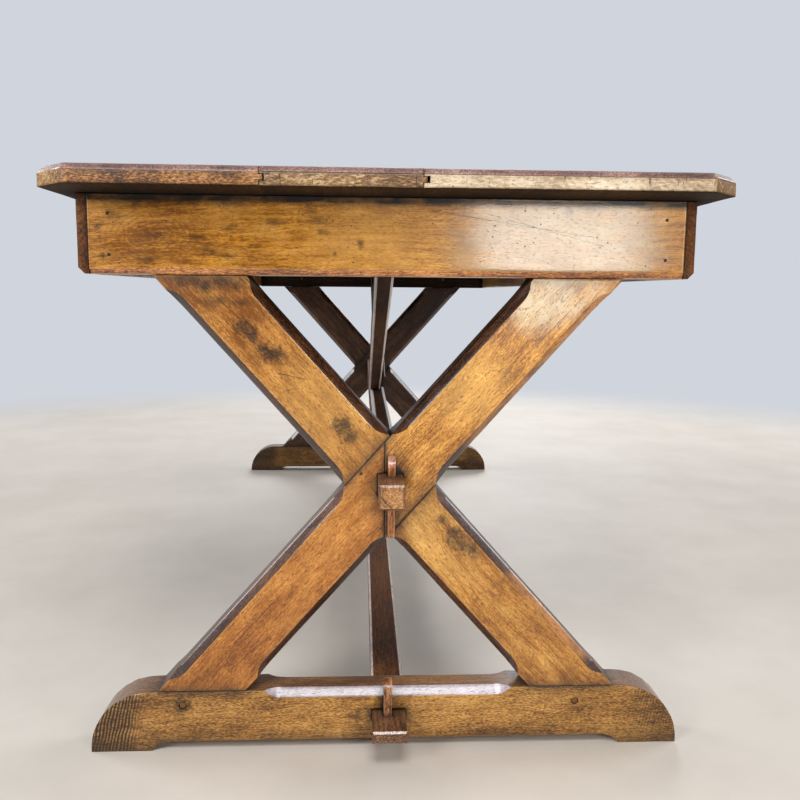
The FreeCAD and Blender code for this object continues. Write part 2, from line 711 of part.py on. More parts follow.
def make_foot(end, sign, turn):
    """A sledge foot: quarter-round toes, two pads with coved ends, mortises for legs and low stretcher."""
    label = f"foot_{end}"
    body = new_body(label, ("0", f"{sign} * {TRESTLE_MIDDLE}", "0"), turn)
    left = f"(-{FOOT_HALF})"
    right = f"({FOOT_HALF} + back_foot_toe_extra)" if end == "back" else FOOT_HALF
    pad_inner = f"({FOOT_HALF} - pad_length)"
    shoulder = "(foot_height - toe_radius)"
    corners = [
        (left, "0"),
        (left, shoulder, "toe_radius", -1),
        (f"{left} + toe_radius", "foot_height"),
        (f"{right} - toe_radius", "foot_height", "toe_radius", -1),
        (right, shoulder),
        (right, "0"),
        (pad_inner, "0", "pad_cove_radius", 1),
        (f"{pad_inner} - pad_slope_run", "pad_relief"),
        (f"-{pad_inner} + pad_slope_run", "pad_relief", "pad_cove_radius", 1),
        (f"-{pad_inner}", "0"),
    ]
    sketch = new_sketch(body, f"{label}_outline")
    draw_outline(sketch, corners)
    add_pad(body, f"{label}_bar", sketch, "trestle_thick")
    floor_of_mortise = "(foot_height - foot_tenon_depth - joint_gap)"
    for side, out in (("left", f"(-{FOOT_JOINT_OUT})"), ("right", FOOT_JOINT_OUT)):
        reach = "(leg_tenon_width / 2 + joint_gap)"
        mortise = new_sketch(body, f"{label}_mortise_{side}_outline")
        draw_outline(mortise, box_corners(f"{out} - {reach}", f"{out} + {reach}", floor_of_mortise, "2 * foot_height"))
        add_pocket(body, f"{label}_mortise_{side}", mortise, "foot_tenon_thick + 2 * joint_gap")
    through = new_sketch(body, f"{label}_stretcher_mortise_outline")
    width = "(low_tenon_width / 2 + joint_gap)"
    draw_outline(through, box_corners(
        f"-{width}", width, f"{TENON_BOTTOM['low']} - joint_gap", f"{TENON_TOP['low']} + joint_gap"))
    add_pocket(body, f"{label}_stretcher_mortise", through, "2 * trestle_thick")
    for side in ("left", "right"):
        bore = new_sketch(body, f"{label}_peg_{side}_circle")
        draw_circle(bore, FOOT_PEG_OUT[side], f"foot_height - foot_peg_{side}_drop", "foot_peg_radius + peg_gap")
        add_pocket(body, f"{label}_peg_{side}", bore, "2 * trestle_thick")
    for number, side_y in enumerate((-1, 1), start=1):
        stopped_chamfer(body, f"{label}_chamfer_{number}", f"(-{FOOT_CHAMFER_HALF})", FOOT_CHAMFER_HALF,
                        side_y, 1, f"({side_y} * trestle_thick / 2)", "foot_height", "foot_chamfer")


def make_rail(end, sign, turn):
    """The rail at the head of a trestle, mortised from below for the legs."""
    label = f"trestle_rail_{end}"
    body = new_body(label, ("0", f"{sign} * {TRESTLE_MIDDLE}", "0"), turn)
    middle = f"-({RAIL_MIDDLE})"
    sketch = new_sketch(body, f"{label}_outline", "XZ_Plane", ("0", "0", middle))
    draw_outline(sketch, box_corners(f"-{APRON_INNER}", APRON_INNER, APRON_BOTTOM, UNDERSIDE))
    add_pad(body, f"{label}_bar", sketch, RAIL_THICK)
    for side, out in (("left", f"(-{RAIL_JOINT_OUT})"), ("right", RAIL_JOINT_OUT)):
        reach = "(leg_tenon_width / 2 + joint_gap)"
        mortise = new_sketch(body, f"{label}_mortise_{side}_outline", "XZ_Plane", ("0", "0", middle))
        draw_outline(mortise, box_corners(f"{out} - {reach}", f"{out} + {reach}", f"{APRON_BOTTOM} - leg_width / 4",
                                          f"{APRON_BOTTOM} + rail_tenon_depth + joint_gap"))
        add_pocket(body, f"{label}_mortise_{side}", mortise, "rail_tenon_thick + 2 * joint_gap")
        bore = new_sketch(body, f"{label}_peg_{side}_circle", "XZ_Plane", ("0", "0", middle))
        draw_circle(bore, out, f"{APRON_BOTTOM} + rail_tenon_depth / 2", "rail_peg_radius + peg_gap")
        add_pocket(body, f"{label}_peg_{side}", bore, "2 * trestle_thick")
    face = new_sketch(body, f"{label}_face_nail_holes", "XZ_Plane", ("0", "0", RAIL_FACE))
    for side in (-1, 1):
        for level in FACE_NAIL_LEVELS:
            draw_outline(face, square_about(f"{side} * {FACE_NAIL_OUT}", level, NAIL_HOLE))
    add_pocket(body, f"{label}_face_nails", face, "2 * (face_nail_length - end_apron_thick + joint_gap)")
    for name, side in (("left", -1), ("right", 1)):
        edge = new_sketch(body, f"{label}_{name}_nail_holes", "YZ_Plane", ("0", "0", f"{side} * {APRON_INNER}"))
        for level in SIDE_NAIL_LEVELS:
            draw_outline(edge, square_about(RAIL_MIDDLE, level, NAIL_HOLE))
        add_pocket(body, f"{label}_{name}_nails", edge, "2 * (side_nail_length - side_apron_thick + joint_gap)")


def make_trestle_pegs(end, sign):
    """Drawbore pegs in the foot, pegs through the rail tenons, and the nails in the lapped crossing."""
    outer = f"{sign} * {TRESTLE_OUTER}"
    mirror = -sign
    feet = []
    for side in ("left", "right"):
        start = (f"{mirror} * {FOOT_PEG_OUT[side]}", outer, f"foot_height - foot_peg_{side}_drop")
        feet.append(peg(f"foot_peg_{side}_{end}", "foot_peg_radius", "trestle_thick", start, (0, -sign, 0)))
    group(f"foot_pegs_{end}", feet)
    rails = []
    inner = f"{sign} * {TRESTLE_INNER}"
    for side, factor in (("left", -1), ("right", 1)):
        start = (f"{factor} * {RAIL_JOINT_OUT}", inner, f"{APRON_BOTTOM} + rail_tenon_depth / 2")
        rails.append(peg(f"rail_peg_{side}_{end}", "rail_peg_radius", RAIL_THICK, start, (0, sign, 0)))
    group(f"rail_pegs_{end}", rails)
    nails = []
    for side in ("left", "right"):
        start = (f"{mirror} * lap_nail_{side}", outer, f"crossing_height + lap_nail_{side}_rise")
        nails.append(nail(f"lap_nail_{side}_{end}", "lap_nail_length", start, 1, -sign))
    group(f"lap_nails_{end}", nails)


# ---------------------------------------------------------------- stretchers, struts and wedges

def wedge_width_at(level, kind):
    """Width of a wedge at a height, from its toe width and its head width."""
    rise = f"(({level}) - {WEDGE_BOTTOM[kind]}) / ({WEDGE_TOP[kind]} - {WEDGE_BOTTOM[kind]})"
    return f"({kind}_wedge_toe + ({kind}_wedge_head - {kind}_wedge_toe) * {rise})"


def make_stretcher(kind, label):
    """A bar from trestle to trestle with a tusk tenon and a tapered key slot at each end."""
    body = new_body(label, ("0", "0", "0"), Rotation(Vector(0, 0, 1), 90))
    top = BAR_TOP[kind]
    bar = new_sketch(body, f"{label}_bar_outline")
    draw_outline(bar, box_corners(f"-{TRESTLE_INNER}", TRESTLE_INNER, f"{top} - {kind}_height", top))
    add_pad(body, f"{label}_bar", bar, f"{kind}_width")
    reach = f"({TRESTLE_OUTER} + {kind}_tenon_proud)"
    tenon = new_sketch(body, f"{label}_tenon_outline")
    draw_outline(tenon, box_corners(f"-{reach}", reach, TENON_BOTTOM[kind], TENON_TOP[kind]))
    add_pad(body, f"{label}_tenons", tenon, f"{kind}_tenon_width")
    tip_at = value(reach)
    add_chamfer(body, f"{label}_tenon_ends", "tenon_end_chamfer",
                lambda edge: min(abs(edge.BoundBox.XMin), abs(edge.BoundBox.XMax)) > tip_at - 0.01)
    for name, factor in (("front", -1), ("back", 1)):
        low = f"({TENON_BOTTOM[kind]} - {kind}_tenon_height)"
        high = f"({TENON_TOP[kind]} + {kind}_tenon_height)"
        inner = f"({factor} * ({TRESTLE_OUTER} - wedge_back_relief))"
        slot = new_sketch(body, f"{label}_slot_{name}_outline", "XZ_Plane", ("0", "0", f"{kind}_slot_shift"))
        corners = [
            (inner, low),
            (f"{factor} * ({TRESTLE_OUTER} + {wedge_width_at(low, kind)} + 2 * key_face_gap)", low),
            (f"{factor} * ({TRESTLE_OUTER} + {wedge_width_at(high, kind)} + 2 * key_face_gap)", high),
            (inner, high),
        ]
        draw_outline(slot, corners)
        add_pocket(body, f"{label}_slot_{name}", slot, f"{kind}_wedge_thick + 2 * key_side_gap")
    for number, side_y in enumerate((-1, 1), start=1):
        reach_in = f"({TRESTLE_INNER} - stretcher_chamfer_stop)"
        stopped_chamfer(body, f"{label}_chamfer_{number}", f"(-{reach_in})", reach_in, side_y, 1,
                        f"({side_y} * {kind}_width / 2)", top, f"{kind}_chamfer")
    return body


def make_wedge(kind, end, sign, turn):
    """A loose key: flat towards the trestle, tapered on its outer edge, with a rounded head."""
    label = f"{kind}_wedge_{end}"
    body = new_body(label, ("0", "0", "0"), turn * Rotation(Vector(0, 0, 1), 90))
    start = f"(-({TRESTLE_OUTER} + key_face_gap))"
    bottom = WEDGE_BOTTOM[kind]
    top = WEDGE_TOP[kind]
    neck = f"({top} - wedge_crown)"
    toe = f"({start} - {kind}_wedge_toe)"
    head = f"({start} - {wedge_width_at(neck, kind)})"
    sketch = new_sketch(body, f"{label}_outline", "XZ_Plane", ("0", "0", f"{-sign} * {kind}_slot_shift"))
    corners = [
        (start, bottom),
        (start, top),
        (f"({head} + wedge_crown)", top, "wedge_crown", 1),
        (head, neck),
        (toe, bottom),
    ]
    draw_outline(sketch, corners)
    add_pad(body, f"{label}_key", sketch, f"{kind}_wedge_thick")
    return body


def make_strut(end, sign, turn):
    """A sloping strut from the mid stretcher's middle up to a trestle rail, its toe cut level."""
    label = f"strut_{end}"
    body = new_body(label, (f"{sign} * strut_shift", "0", "0"), turn * Rotation(Vector(0, 0, 1), 90))
    far = f"(-{TRESTLE_INNER})"
    corners = [
        ("0", BAR_TOP["mid"]),
        ("0", f"{BAR_TOP['mid']} + strut_depth - {STRUT_RISE} * strut_seat"),
        (far, f"{STRUT_HEEL} + strut_depth"),
        (far, STRUT_HEEL),
        ("(-strut_seat)", BAR_TOP["mid"]),
    ]
    sketch = new_sketch(body, f"{label}_outline")
    draw_outline(sketch, corners)
    add_pad(body, f"{label}_bar", sketch, "strut_width")
    add_chamfer(body, f"{label}_arrises", "strut_chamfer", lambda edge: edge.Length > value(TRESTLE_INNER) / 2)
    bore = new_sketch(body, f"{label}_peg_circle", "XY_Plane", ("0", "0", BAR_TOP["mid"]))
    draw_circle(bore, "-strut_peg_place", "0", "strut_peg_radius + peg_gap")
    add_pocket(body, f"{label}_peg", bore, "4 * strut_depth")


def make_strut_pegs(stretcher):
    """A peg through the toe of each strut, driven into the top of the mid stretcher."""
    pegs = []
    for end, sign, _ in ENDS:
        bore = new_sketch(stretcher, f"strut_peg_{end}_circle", "XY_Plane", ("0", "0", BAR_TOP["mid"]))
        draw_circle(bore, f"{sign} * strut_peg_place", f"{-sign} * strut_shift", "strut_peg_radius + peg_gap")
        add_pocket(stretcher, f"strut_peg_{end}_bore", bore, "2 * (strut_peg_depth + joint_gap)")
        start = (f"{sign} * strut_shift", f"{sign} * strut_peg_place", f"{BAR_TOP['mid']} - strut_peg_depth")
        length = f"strut_peg_depth + {STRUT_PEG_REACH}"
        pegs.append(peg(f"strut_peg_{end}", "strut_peg_radius", length, start, (0, 0, 1)))
    group("strut_pegs", pegs)


# ---------------------------------------------------------------- the table

make_top()
make_aprons()
make_carcass_blocks()
make_apron_nails()
for end_name, end_sign, end_turn in ENDS:
    make_foot(end_name, end_sign, end_turn)
    make_through_leg(end_name, end_sign, end_turn)
    make_half_leg(end_name, end_sign, end_turn, upper=False)
    make_half_leg(end_name, end_sign, end_turn, upper=True)
    make_rail(end_name, end_sign, end_turn)
    make_trestle_pegs(end_name, end_sign)
    make_strut(end_name, end_sign, end_turn)
    for wedge_kind in ("mid", "low"):
        make_wedge(wedge_kind, end_name, end_sign, end_turn)
make_strut_pegs(make_stretcher("mid", "mid_stretcher"))
make_stretcher("low", "low_stretcher")

doc.recompute()
for item in doc.Objects:
    if "Invalid" in item.State or "Error" in item.State:
        raise RuntimeError(f"{item.Label} failed: {item.State}")
os.makedirs("parts", exist_ok=True)
for part in parts:
    if part.Shape.isNull() or not part.Shape.isValid():
        raise RuntimeError(f"{part.Label} has no valid shape")
    part.Shape.exportStep(f"parts/{part.Label}.step")
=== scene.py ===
"""A sawbuck table in old waxed hardwood: worn timber, pegs, nails, finishes, floor, light and camera.

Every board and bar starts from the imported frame's own solid, so the joinery stays as it was cut. Each is then
sliced into a fine grid, rounded at the arrises and hollowed a little by a Geometry Nodes tree, and finished.
Metres throughout: +Z up, Y along the table, X across it, origin on the floor under the middle of the top.
"""

import logging
import math
from dataclasses import dataclass, replace
from enum import Enum

import bmesh
import bpy
from mathutils import Matrix, Vector
from mathutils.bvhtree import BVHTree


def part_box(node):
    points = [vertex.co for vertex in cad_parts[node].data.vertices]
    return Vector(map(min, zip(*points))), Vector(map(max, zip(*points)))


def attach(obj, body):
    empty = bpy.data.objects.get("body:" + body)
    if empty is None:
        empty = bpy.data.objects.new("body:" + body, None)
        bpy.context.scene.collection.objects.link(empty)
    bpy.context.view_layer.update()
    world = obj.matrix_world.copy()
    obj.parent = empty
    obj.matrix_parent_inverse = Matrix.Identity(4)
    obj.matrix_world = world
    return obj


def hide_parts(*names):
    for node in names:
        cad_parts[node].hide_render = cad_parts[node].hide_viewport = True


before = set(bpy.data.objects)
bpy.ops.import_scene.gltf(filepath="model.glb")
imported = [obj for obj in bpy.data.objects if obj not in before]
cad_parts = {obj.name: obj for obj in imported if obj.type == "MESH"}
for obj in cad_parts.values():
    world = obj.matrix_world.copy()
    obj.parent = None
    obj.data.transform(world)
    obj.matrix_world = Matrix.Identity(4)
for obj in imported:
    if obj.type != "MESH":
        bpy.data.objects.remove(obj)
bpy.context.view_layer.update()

log = logging.getLogger("sawbuck_table")
MM = 0.001

# Attributes that carry measures of the timber to the node trees.
WEAR = "arris_wear"
GRIME_AND_SHADE = "grime_and_shade"
PLACE = "timber_place"
EDGE = "edge_tone"
LOOSE = "free_to_hollow"
FREE = "free_to_wear"
AIM = "aim"

# Node types that come often.
MATH = "ShaderNodeMath"
VECTOR_MATH = "ShaderNodeVectorMath"
MAP_RANGE = "ShaderNodeMapRange"
NOISE = "ShaderNodeTexNoise"
ATTRIBUTE = "ShaderNodeAttribute"
NAMED_ATTRIBUTE = "GeometryNodeInputNamedAttribute"
# What the wave texture's scale has to be multiplied by for one wave to each cell.
WAVE_CELL = 0.314

Node = bpy.types.Node
Socket = bpy.types.NodeSocket
Tree = bpy.types.NodeTree
Piece = bpy.types.Object
Material = bpy.types.Material
Triple = tuple[float, float, float]
Colour = tuple[float, float, float, float]
# A mark's middle as x and z, and its radius. A line's two ends as x and z each, and its half width.
Spot = tuple[float, float, float]
Line = tuple[float, float, float, float, float]


# ---------------------------------------------------------------- small helpers

def linear(colour: str) -> Colour:
    """Turn an sRGB hex colour into linear red, green, blue and alpha.

    Args:
        colour: Six hex digits with a leading hash.

    Returns:
        The linear colour, with an alpha of 1.
    """
    parts = (int(colour[start:start + 2], 16) / 255 for start in (1, 3, 5))
    red, green, blue = (c / 12.92 if c <= 0.04045 else ((c + 0.055) / 1.055) ** 2.4 for c in parts)
    return red, green, blue, 1.0


def per_metre(millimetres: float) -> float:
    """Give the pattern scale whose cell is a real size in millimetres."""
    return 1000.0 / millimetres


def add(tree: Tree, kind: str, links: dict | None = None, **settings: object) -> Node:
    """Add one node with its settings and links.

    Args:
        tree: The tree that gets the node.
        kind: The node's type name.
        links: Input name or number to what feeds it: a socket, a node by its first output in use, or a value.
        settings: Properties of the node.

    Returns:
        The new node.
    """
    node = tree.nodes.new(kind)
    for name, value in settings.items():
        setattr(node, name, value)
    for name, source in (links or {}).items():
        if isinstance(source, Node):
            source = next(output for output in source.outputs if output.enabled)
        if isinstance(source, Socket):
            tree.links.new(source, node.inputs[name])
        else:
            node.inputs[name].default_value = source
    return node


def bare_tree(owner: Material | bpy.types.World) -> Tree:
    """Switch on the nodes of a material or a world.

    Args:
        owner: The material or world.

    Returns:
        Its tree, emptied.
    """
    owner.use_nodes = True
    owner.node_tree.nodes.clear()
    return owner.node_tree


def new_object(name: str, data: bpy.types.ID) -> Piece:
    """Put a mesh, lamp or camera into the scene as an object at the origin.

    Args:
        name: The object's name.
        data: What it shows.

    Returns:
        The new object.
    """
    made = bpy.data.objects.new(name, data)
    bpy.context.scene.collection.objects.link(made)
    return made


def stand_in(piece: Piece, node: str, body: str) -> None:
    """Put a finished piece in the place of its node.

    Args:
        piece: The piece, a plain mesh.
        node: The node that it stands for.
        body: The body that it rides.
    """
    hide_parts(node)
    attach(piece, body)
    log.info("%s: %d faces", piece.name, len(piece.data.polygons))


# ---------------------------------------------------------------- finishes

@dataclass(frozen=True)
class Patch:
    """How a mark fades from its middle outwards, with distances in radii of the mark."""

    most: float
    full_to: float
    gone_from: float = 1.0
    draw: Triple = (1.0, 1.0, 1.0)
    ragged_share: float = 0.0
    ragged_mm: float = 1.0
    octaves: float = 0.0
    coarseness: float = 0.5
    easing: str = "SMOOTHSTEP"


class Mark(Enum):
    """The kinds of mark that use leaves round a place: painted light pools and painted highlights are light,
    the others dark; the smudge marks are partly painted shade.
    """

    LIGHT_POOL = Patch(0.4, 0.3)
    BLOOM = Patch(0.7, 0.3)
    KNOT = Patch(1.0, 0.2, draw=(0.6, 1.0, 1.0))
    SMUDGE_AND_SHADE = Patch(0.62, -0.95, 0.10, (0.6, 1.0, 1.6), 1.6, 12.0, 4.0, 0.65)
    STAIN = Patch(0.72, -1.45, -0.40, (1.0, 1.0, 1.0), 3.2, 7.0, 5.0, 0.8, "LINEAR")


@dataclass(frozen=True)
class AgedTimber:
    """Old hardwood, planed by hand, oiled and waxed: fine flecks and fibre under a soft uneven gloss."""

    name: str
    dark: str
    body: str
    pale: str
    worn: str
    # The colour of soot, dirt and painted shade.
    soot_and_shade: str = "#120A05"
    # The pale colour of the painted highlights.
    highlight_colour: str = "#B8A078"
    # Sizes of the wood's patterns, and how they are drawn out along the timber's length, thickness and width.
    fleck_mm: float = 1.3
    fibre_mm: float = 2.2
    cloud_mm: float = 26.0
    blotch_mm: float = 120.0
    ring_mm: float = 7.0
    fleck_draw: Triple = (0.26, 1.0, 1.0)
    fibre_draw: Triple = (0.05, 1.0, 1.0)
    # How strongly each pattern, each trace of use and the painted shade beside joints shows.
    fleck_share: float = 0.95
    fibre_share: float = 0.60
    cloud_share: float = 0.42
    blotch_share: float = 0.75
    ring_share: float = 0.07
    pore_share: float = 0.75
    edge_share: float = 0.40
    grime_and_shade_share: float = 0.85
    grime_and_shade_band: tuple[float, float] = (0.0, 1.0)
    worm_share: float = 0.42
    crack_share: float = 0.0
    # The gloss of the wax, and how far the whole is darkened as painted shade.
    roughness: float = 0.42
    specular: float = 0.5
    coat: float = 0.35
    coat_roughness: float = 0.20
    tone: float = 1.0
    # Single marks, on the face of the table's near end at this Y; some of them are painted light and painted
    # shade.
    face_y: float = -0.9005
    painted_light_pools: tuple[Spot, ...] = ()
    painted_highlights: tuple[Spot, ...] = ()
    knots: tuple[Spot, ...] = ()
    smudges_and_shade: tuple[Spot, ...] = ()
    stains: tuple[Spot, ...] = ()
    scratches: tuple[Line, ...] = ()
    scuffs: tuple[Line, ...] = ()
    soaked_from: float = 0.0

    def make(self) -> Material:
        """Build the finish as a node material."""
        return TimberNodes(self).finish()

    def with_painted_shade(self, colour: str) -> Colour:
        """Give a colour darkened by the tone, the painted shade of the far trestle's copies."""
        red, green, blue, alpha = linear(colour)
        return red * self.tone, green * self.tone, blue * self.tone, alpha


class TimberNodes:
    """The node tree of one aged timber: the wood's own patterns, and over them what use has left."""

    def __init__(self, look: AgedTimber) -> None:
        """Start the material with the points and measures that its patterns hang on.

        Args:
            look: The timber's values.
        """
        self.look = look
        self.material = bpy.data.materials.new(look.name)
        self.tree = bare_tree(self.material)
        self.place = add(self.tree, ATTRIBUTE, attribute_name=PLACE).outputs["Vector"]
        self.edge, self.wear, self.grime_and_shade = (
            add(self.tree, ATTRIBUTE, attribute_name=name).outputs["Fac"] for name in (EDGE, WEAR, GRIME_AND_SHADE)
        )
        self.where = add(self.tree, "ShaderNodeTexCoord").outputs["Object"]
        self.grain = self.wander()

    def finish(self) -> Material:
        """Wire the colour, the relief and the gloss.

        Returns:
            The material.
        """
        tree = self.tree
        look = self.look
        fleck = self.drawn_out(self.place, look.fleck_mm, look.fleck_draw, 3.0)
        fibre = self.drawn_out(self.grain, look.fibre_mm, look.fibre_draw, 3.0)
        cloud = self.drawn_out(self.grain, look.cloud_mm)
        blotch = self.drawn_out(self.grain, look.blotch_mm, (0.45, 1.0, 1.0))
        tone = self.weighed((fleck, look.fleck_share), (fibre, look.fibre_share), (cloud, look.cloud_share),
                            (blotch, look.blotch_share), (self.rings(), look.ring_share))
        colour = add(tree, "ShaderNodeValToRGB", {"Fac": tone})
        stops = colour.color_ramp.elements
        for position, shade in ((0.30, look.dark), (0.52, look.body), (0.74, look.pale)):
            stops.new(position).color = look.with_painted_shade(shade)
        stops.remove(stops[0])
        stops.remove(stops[-1])
        pores = self.pores()
        holes = self.worm_holes()
        for over, share in self.layers(pores, holes):
            colour = add(tree, "ShaderNodeMix", {"Factor": share, 6: colour, 7: look.with_painted_shade(over)},
                         data_type="RGBA")
        height = self.weighed((fleck, 0.2), (fibre, 0.3), (cloud, 1.0), (pores, -0.3), (holes, -3.0))
        bump = add(tree, "ShaderNodeBump", {"Height": height, "Strength": 0.5, "Distance": 0.25 * MM})
        waxed = add(tree, MATH, {0: cloud, 1: 0.36, 2: look.roughness - 0.18}, operation="MULTIPLY_ADD")
        rough = add(tree, MATH, {0: self.grime_and_shade, 1: 0.25, 2: waxed}, operation="MULTIPLY_ADD", use_clamp=True)
        shader = add(tree, "ShaderNodeBsdfPrincipled", {
            "Base Color": colour,
            "Roughness": rough,
            "Normal": bump,
            "IOR": 1.5,
            "Specular IOR Level": look.specular,
            "Coat Weight": look.coat,
            "Coat Roughness": look.coat_roughness,
            "Coat IOR": 1.45,
            "Coat Normal": bump,
        })
        add(tree, "ShaderNodeOutputMaterial", {"Surface": shader})
        return self.material

    def layers(self, pores: Node, holes: Node) -> list[tuple[str, Node]]:
        """List what lies over the bare wood, from the lowest layer up.

        Args:
            pores: The open pores.
            holes: The worm holes.

        Returns:
            Each layer's colour and mask.
        """
        look = self.look
        filled = add(self.tree, MATH, {0: pores, 1: look.pore_share}, operation="MULTIPLY")
        # The light pools and highlights are painted light; the dark rim beside joints is dirt and painted
        # shade.
        found = [(look.pale, self.mark(Mark.LIGHT_POOL, spot)) for spot in look.painted_light_pools]
        found += [(look.highlight_colour, self.broken(self.mark(Mark.BLOOM, spot), 16.0)) for spot in look.painted_highlights]
        found += [
            (look.dark, self.broken(self.edge, 18.0, look.edge_share)),
            (look.worn, self.broken(self.wear, 9.0, 0.6)),
            (look.dark, filled),
            (look.soot_and_shade, self.broken(self.grime_and_shade_rim(), 14.0, look.grime_and_shade_share, 0.7)),
            (look.soot_and_shade, self.crevice()),
        ]
        found += [(look.dark, self.knot(spot)) for spot in look.knots]
        # Smudges of dirt, partly painted shade where they lie just under the top and the apron.
        found += [(look.soot_and_shade, self.mark(Mark.SMUDGE_AND_SHADE, spot)) for spot in look.smudges_and_shade]
        found += [(look.soot_and_shade, self.mark(Mark.STAIN, spot)) for spot in look.stains]
        found += [(look.soot_and_shade, self.scratch(line)) for line in look.scratches]
        found += [(look.pale, self.scratch(line)) for line in look.scuffs]
        if look.soaked_from:
            found.append((look.soot_and_shade, self.darkened_toes_and_bottom()))
        if look.crack_share:
            found.append((look.soot_and_shade, self.cracks()))
        return [*found, (look.soot_and_shade, holes)]

    def drawn_out(self, point: Socket | Node, size_mm: float, draw: Triple = (0.5, 1.0, 1.0),
                  octaves: float = 4.0) -> Node:
        """Draw noise of a real size that is drawn out along some axes.

        Args:
            point: The point in the timber.
            size_mm: The size where it isn't drawn out.
            draw: The share of the scale along the timber's length, thickness and width.
            octaves: How many octaves.

        Returns:
            The noise, from 0 to 1.
        """
        flat = add(self.tree, VECTOR_MATH, {0: point, 1: draw}, operation="MULTIPLY")
        return add(self.tree, NOISE, {"Vector": flat, "Scale": per_metre(size_mm), "Detail": octaves,
                                      "Roughness": 0.6})

    def weighed(self, *shares: tuple[Node | Socket, float]) -> Node:
        """Add weighted patterns about a middle of one half.

        Args:
            shares: Each pattern with its weight.

        Returns:
            The sum.
        """
        total: Node | float = 0.5 - sum(weight for _, weight in shares) * 0.5
        for pattern, weight in shares:
            total = add(self.tree, MATH, {0: pattern, 1: weight, 2: total}, operation="MULTIPLY_ADD")
        return total

    def broken(self, mask: Socket | Node, size_mm: float, share: float = 1.0, least: float = 0.35) -> Node:
        """Break a mask up with noise so that it looks worn and not painted.

        Args:
            mask: The mask, from 0 to 1.
            size_mm: The size of the breaks.
            share: The most that the mask may show.
            least: What is left of that where it is broken.

        Returns:
            The broken mask.
        """
        lifted = add(self.tree, MAP_RANGE, {
            "Value": self.drawn_out(self.place, size_mm),
            "From Min": 0.35, "From Max": 0.58, "To Min": least * share, "To Max": share,
        })
        return add(self.tree, MATH, {0: mask, 1: lifted}, operation="MULTIPLY")

    def wander(self) -> Node:
        """Bend the grain a little, as it grew.

        Returns:
            The bent point in the timber.
        """
        tree = self.tree
        slow = add(tree, VECTOR_MATH, {0: self.place, 1: (2.2, 7.0, 7.0)}, operation="MULTIPLY")
        noise = add(tree, NOISE, {"Vector": slow, "Scale": 1.0, "Detail": 2.0}).outputs["Color"]
        centred = add(tree, VECTOR_MATH, {0: noise, 1: (0.5, 0.5, 0.5)}, operation="SUBTRACT")
        sway = add(tree, VECTOR_MATH, {0: centred, 1: (0.0, 0.05, 0.05)}, operation="MULTIPLY")
        return add(tree, VECTOR_MATH, {0: self.place, 1: sway}, operation="ADD")

    def rings(self) -> Socket:
        """Draw growth rings round the pith, which lies along the timber's length.

        Returns:
            The rings, from 0 to 1.
        """
        flat = add(self.tree, VECTOR_MATH, {0: self.grain, 1: (0.04, 1.0, 1.0)}, operation="MULTIPLY")
        wave = add(self.tree, "ShaderNodeTexWave", {
            "Vector": flat, "Scale": WAVE_CELL * per_metre(self.look.ring_mm), "Distortion": 1.6,
            "Detail": 3.0, "Detail Scale": 0.6, "Detail Roughness": 0.6,
        }, wave_type="RINGS", rings_direction="X", wave_profile="SIN")
        return wave.outputs["Fac"]

    def pores(self) -> Node:
        """Draw open pores as short dark dashes, as coarse as they need to be to show."""
        fine = self.drawn_out(self.place, 1.5, self.look.fleck_draw, 1.0)
        return add(self.tree, MAP_RANGE, {"Value": fine, "From Min": 0.59, "From Max": 0.68})

    def worm_holes(self) -> Node:
        """Scatter flight holes of about 1.6 mm in loose clusters.

        Returns:
            How much of a hole shows there.
        """
        tree = self.tree
        cells = add(tree, "ShaderNodeTexVoronoi", {
            "Vector": self.place, "Scale": per_metre(13.0), "Randomness": 1.0,
        })
        hole = add(tree, MAP_RANGE, {
            "Value": cells, "From Min": 0.055, "From Max": 0.085, "To Min": 1.0, "To Max": 0.0,
        })
        cluster = add(tree, NOISE, {"Vector": self.place, "Scale": per_metre(120.0), "Detail": 1.0})
        share = 0.72 - 0.4 * self.look.worm_share
        gate = add(tree, MAP_RANGE, {"Value": cluster, "From Min": share, "From Max": share + 0.03})
        return add(tree, MATH, {0: hole, 1: gate}, operation="MULTIPLY")

    def cracks(self) -> Node:
        """Open fine upright checks in end grain, a few millimetres apart.

        Returns:
            How much of a check shows there.
        """
        flat = add(self.tree, VECTOR_MATH, {0: self.place, 1: (1.0, 1.0, 0.16)}, operation="MULTIPLY")
        noise = add(self.tree, NOISE, {
            "Vector": flat, "Scale": per_metre(4.0), "Detail": 3.0, "Roughness": 0.7,
        })
        return add(self.tree, MAP_RANGE, {
            "Value": noise, "From Min": 0.62, "From Max": 0.69, "To Max": self.look.crack_share,
        })

    def grime_and_shade_rim(self) -> Node:
        """Give the dirt and painted shade beside joints a ragged rim, from just seen to full between the two
        ends that the finish gives.

        Returns:
            How much of the dirt and painted shade shows there.
        """
        rim = self.drawn_out(self.place, 16.0, (0.35, 1.0, 1.0))
        shift = add(self.tree, MATH, {0: rim, 1: 0.36, 2: -0.18}, operation="MULTIPLY_ADD")
        ragged = add(self.tree, MATH, {0: shift, 1: self.grime_and_shade}, operation="ADD")
        low, high = self.look.grime_and_shade_band
        return add(self.tree, MAP_RANGE, {"Value": ragged, "From Min": low, "From Max": high})

    def crevice(self) -> Node:
        """Draw the black line that dirt leaves within a millimetre or so of a joint."""
        near = {"From Min": 0.80, "From Max": 0.97, "To Max": 0.9}
        return add(self.tree, MAP_RANGE, {"Value": self.grime_and_shade, **near})

    def reach(self, spot: Spot, draw: Triple) -> Node:
        """Measure how far a point lies from a mark's middle.

        Args:
            spot: The mark.
            draw: The share of the distance along X, Y and Z.

        Returns:
            The distance in metres.
        """
        middle = (spot[0], self.look.face_y, spot[1])
        away = add(self.tree, VECTOR_MATH, {0: self.where, 1: middle}, operation="SUBTRACT")
        drawn = add(self.tree, VECTOR_MATH, {0: away, 1: draw}, operation="MULTIPLY")
        return add(self.tree, VECTOR_MATH, {0: drawn}, operation="LENGTH")

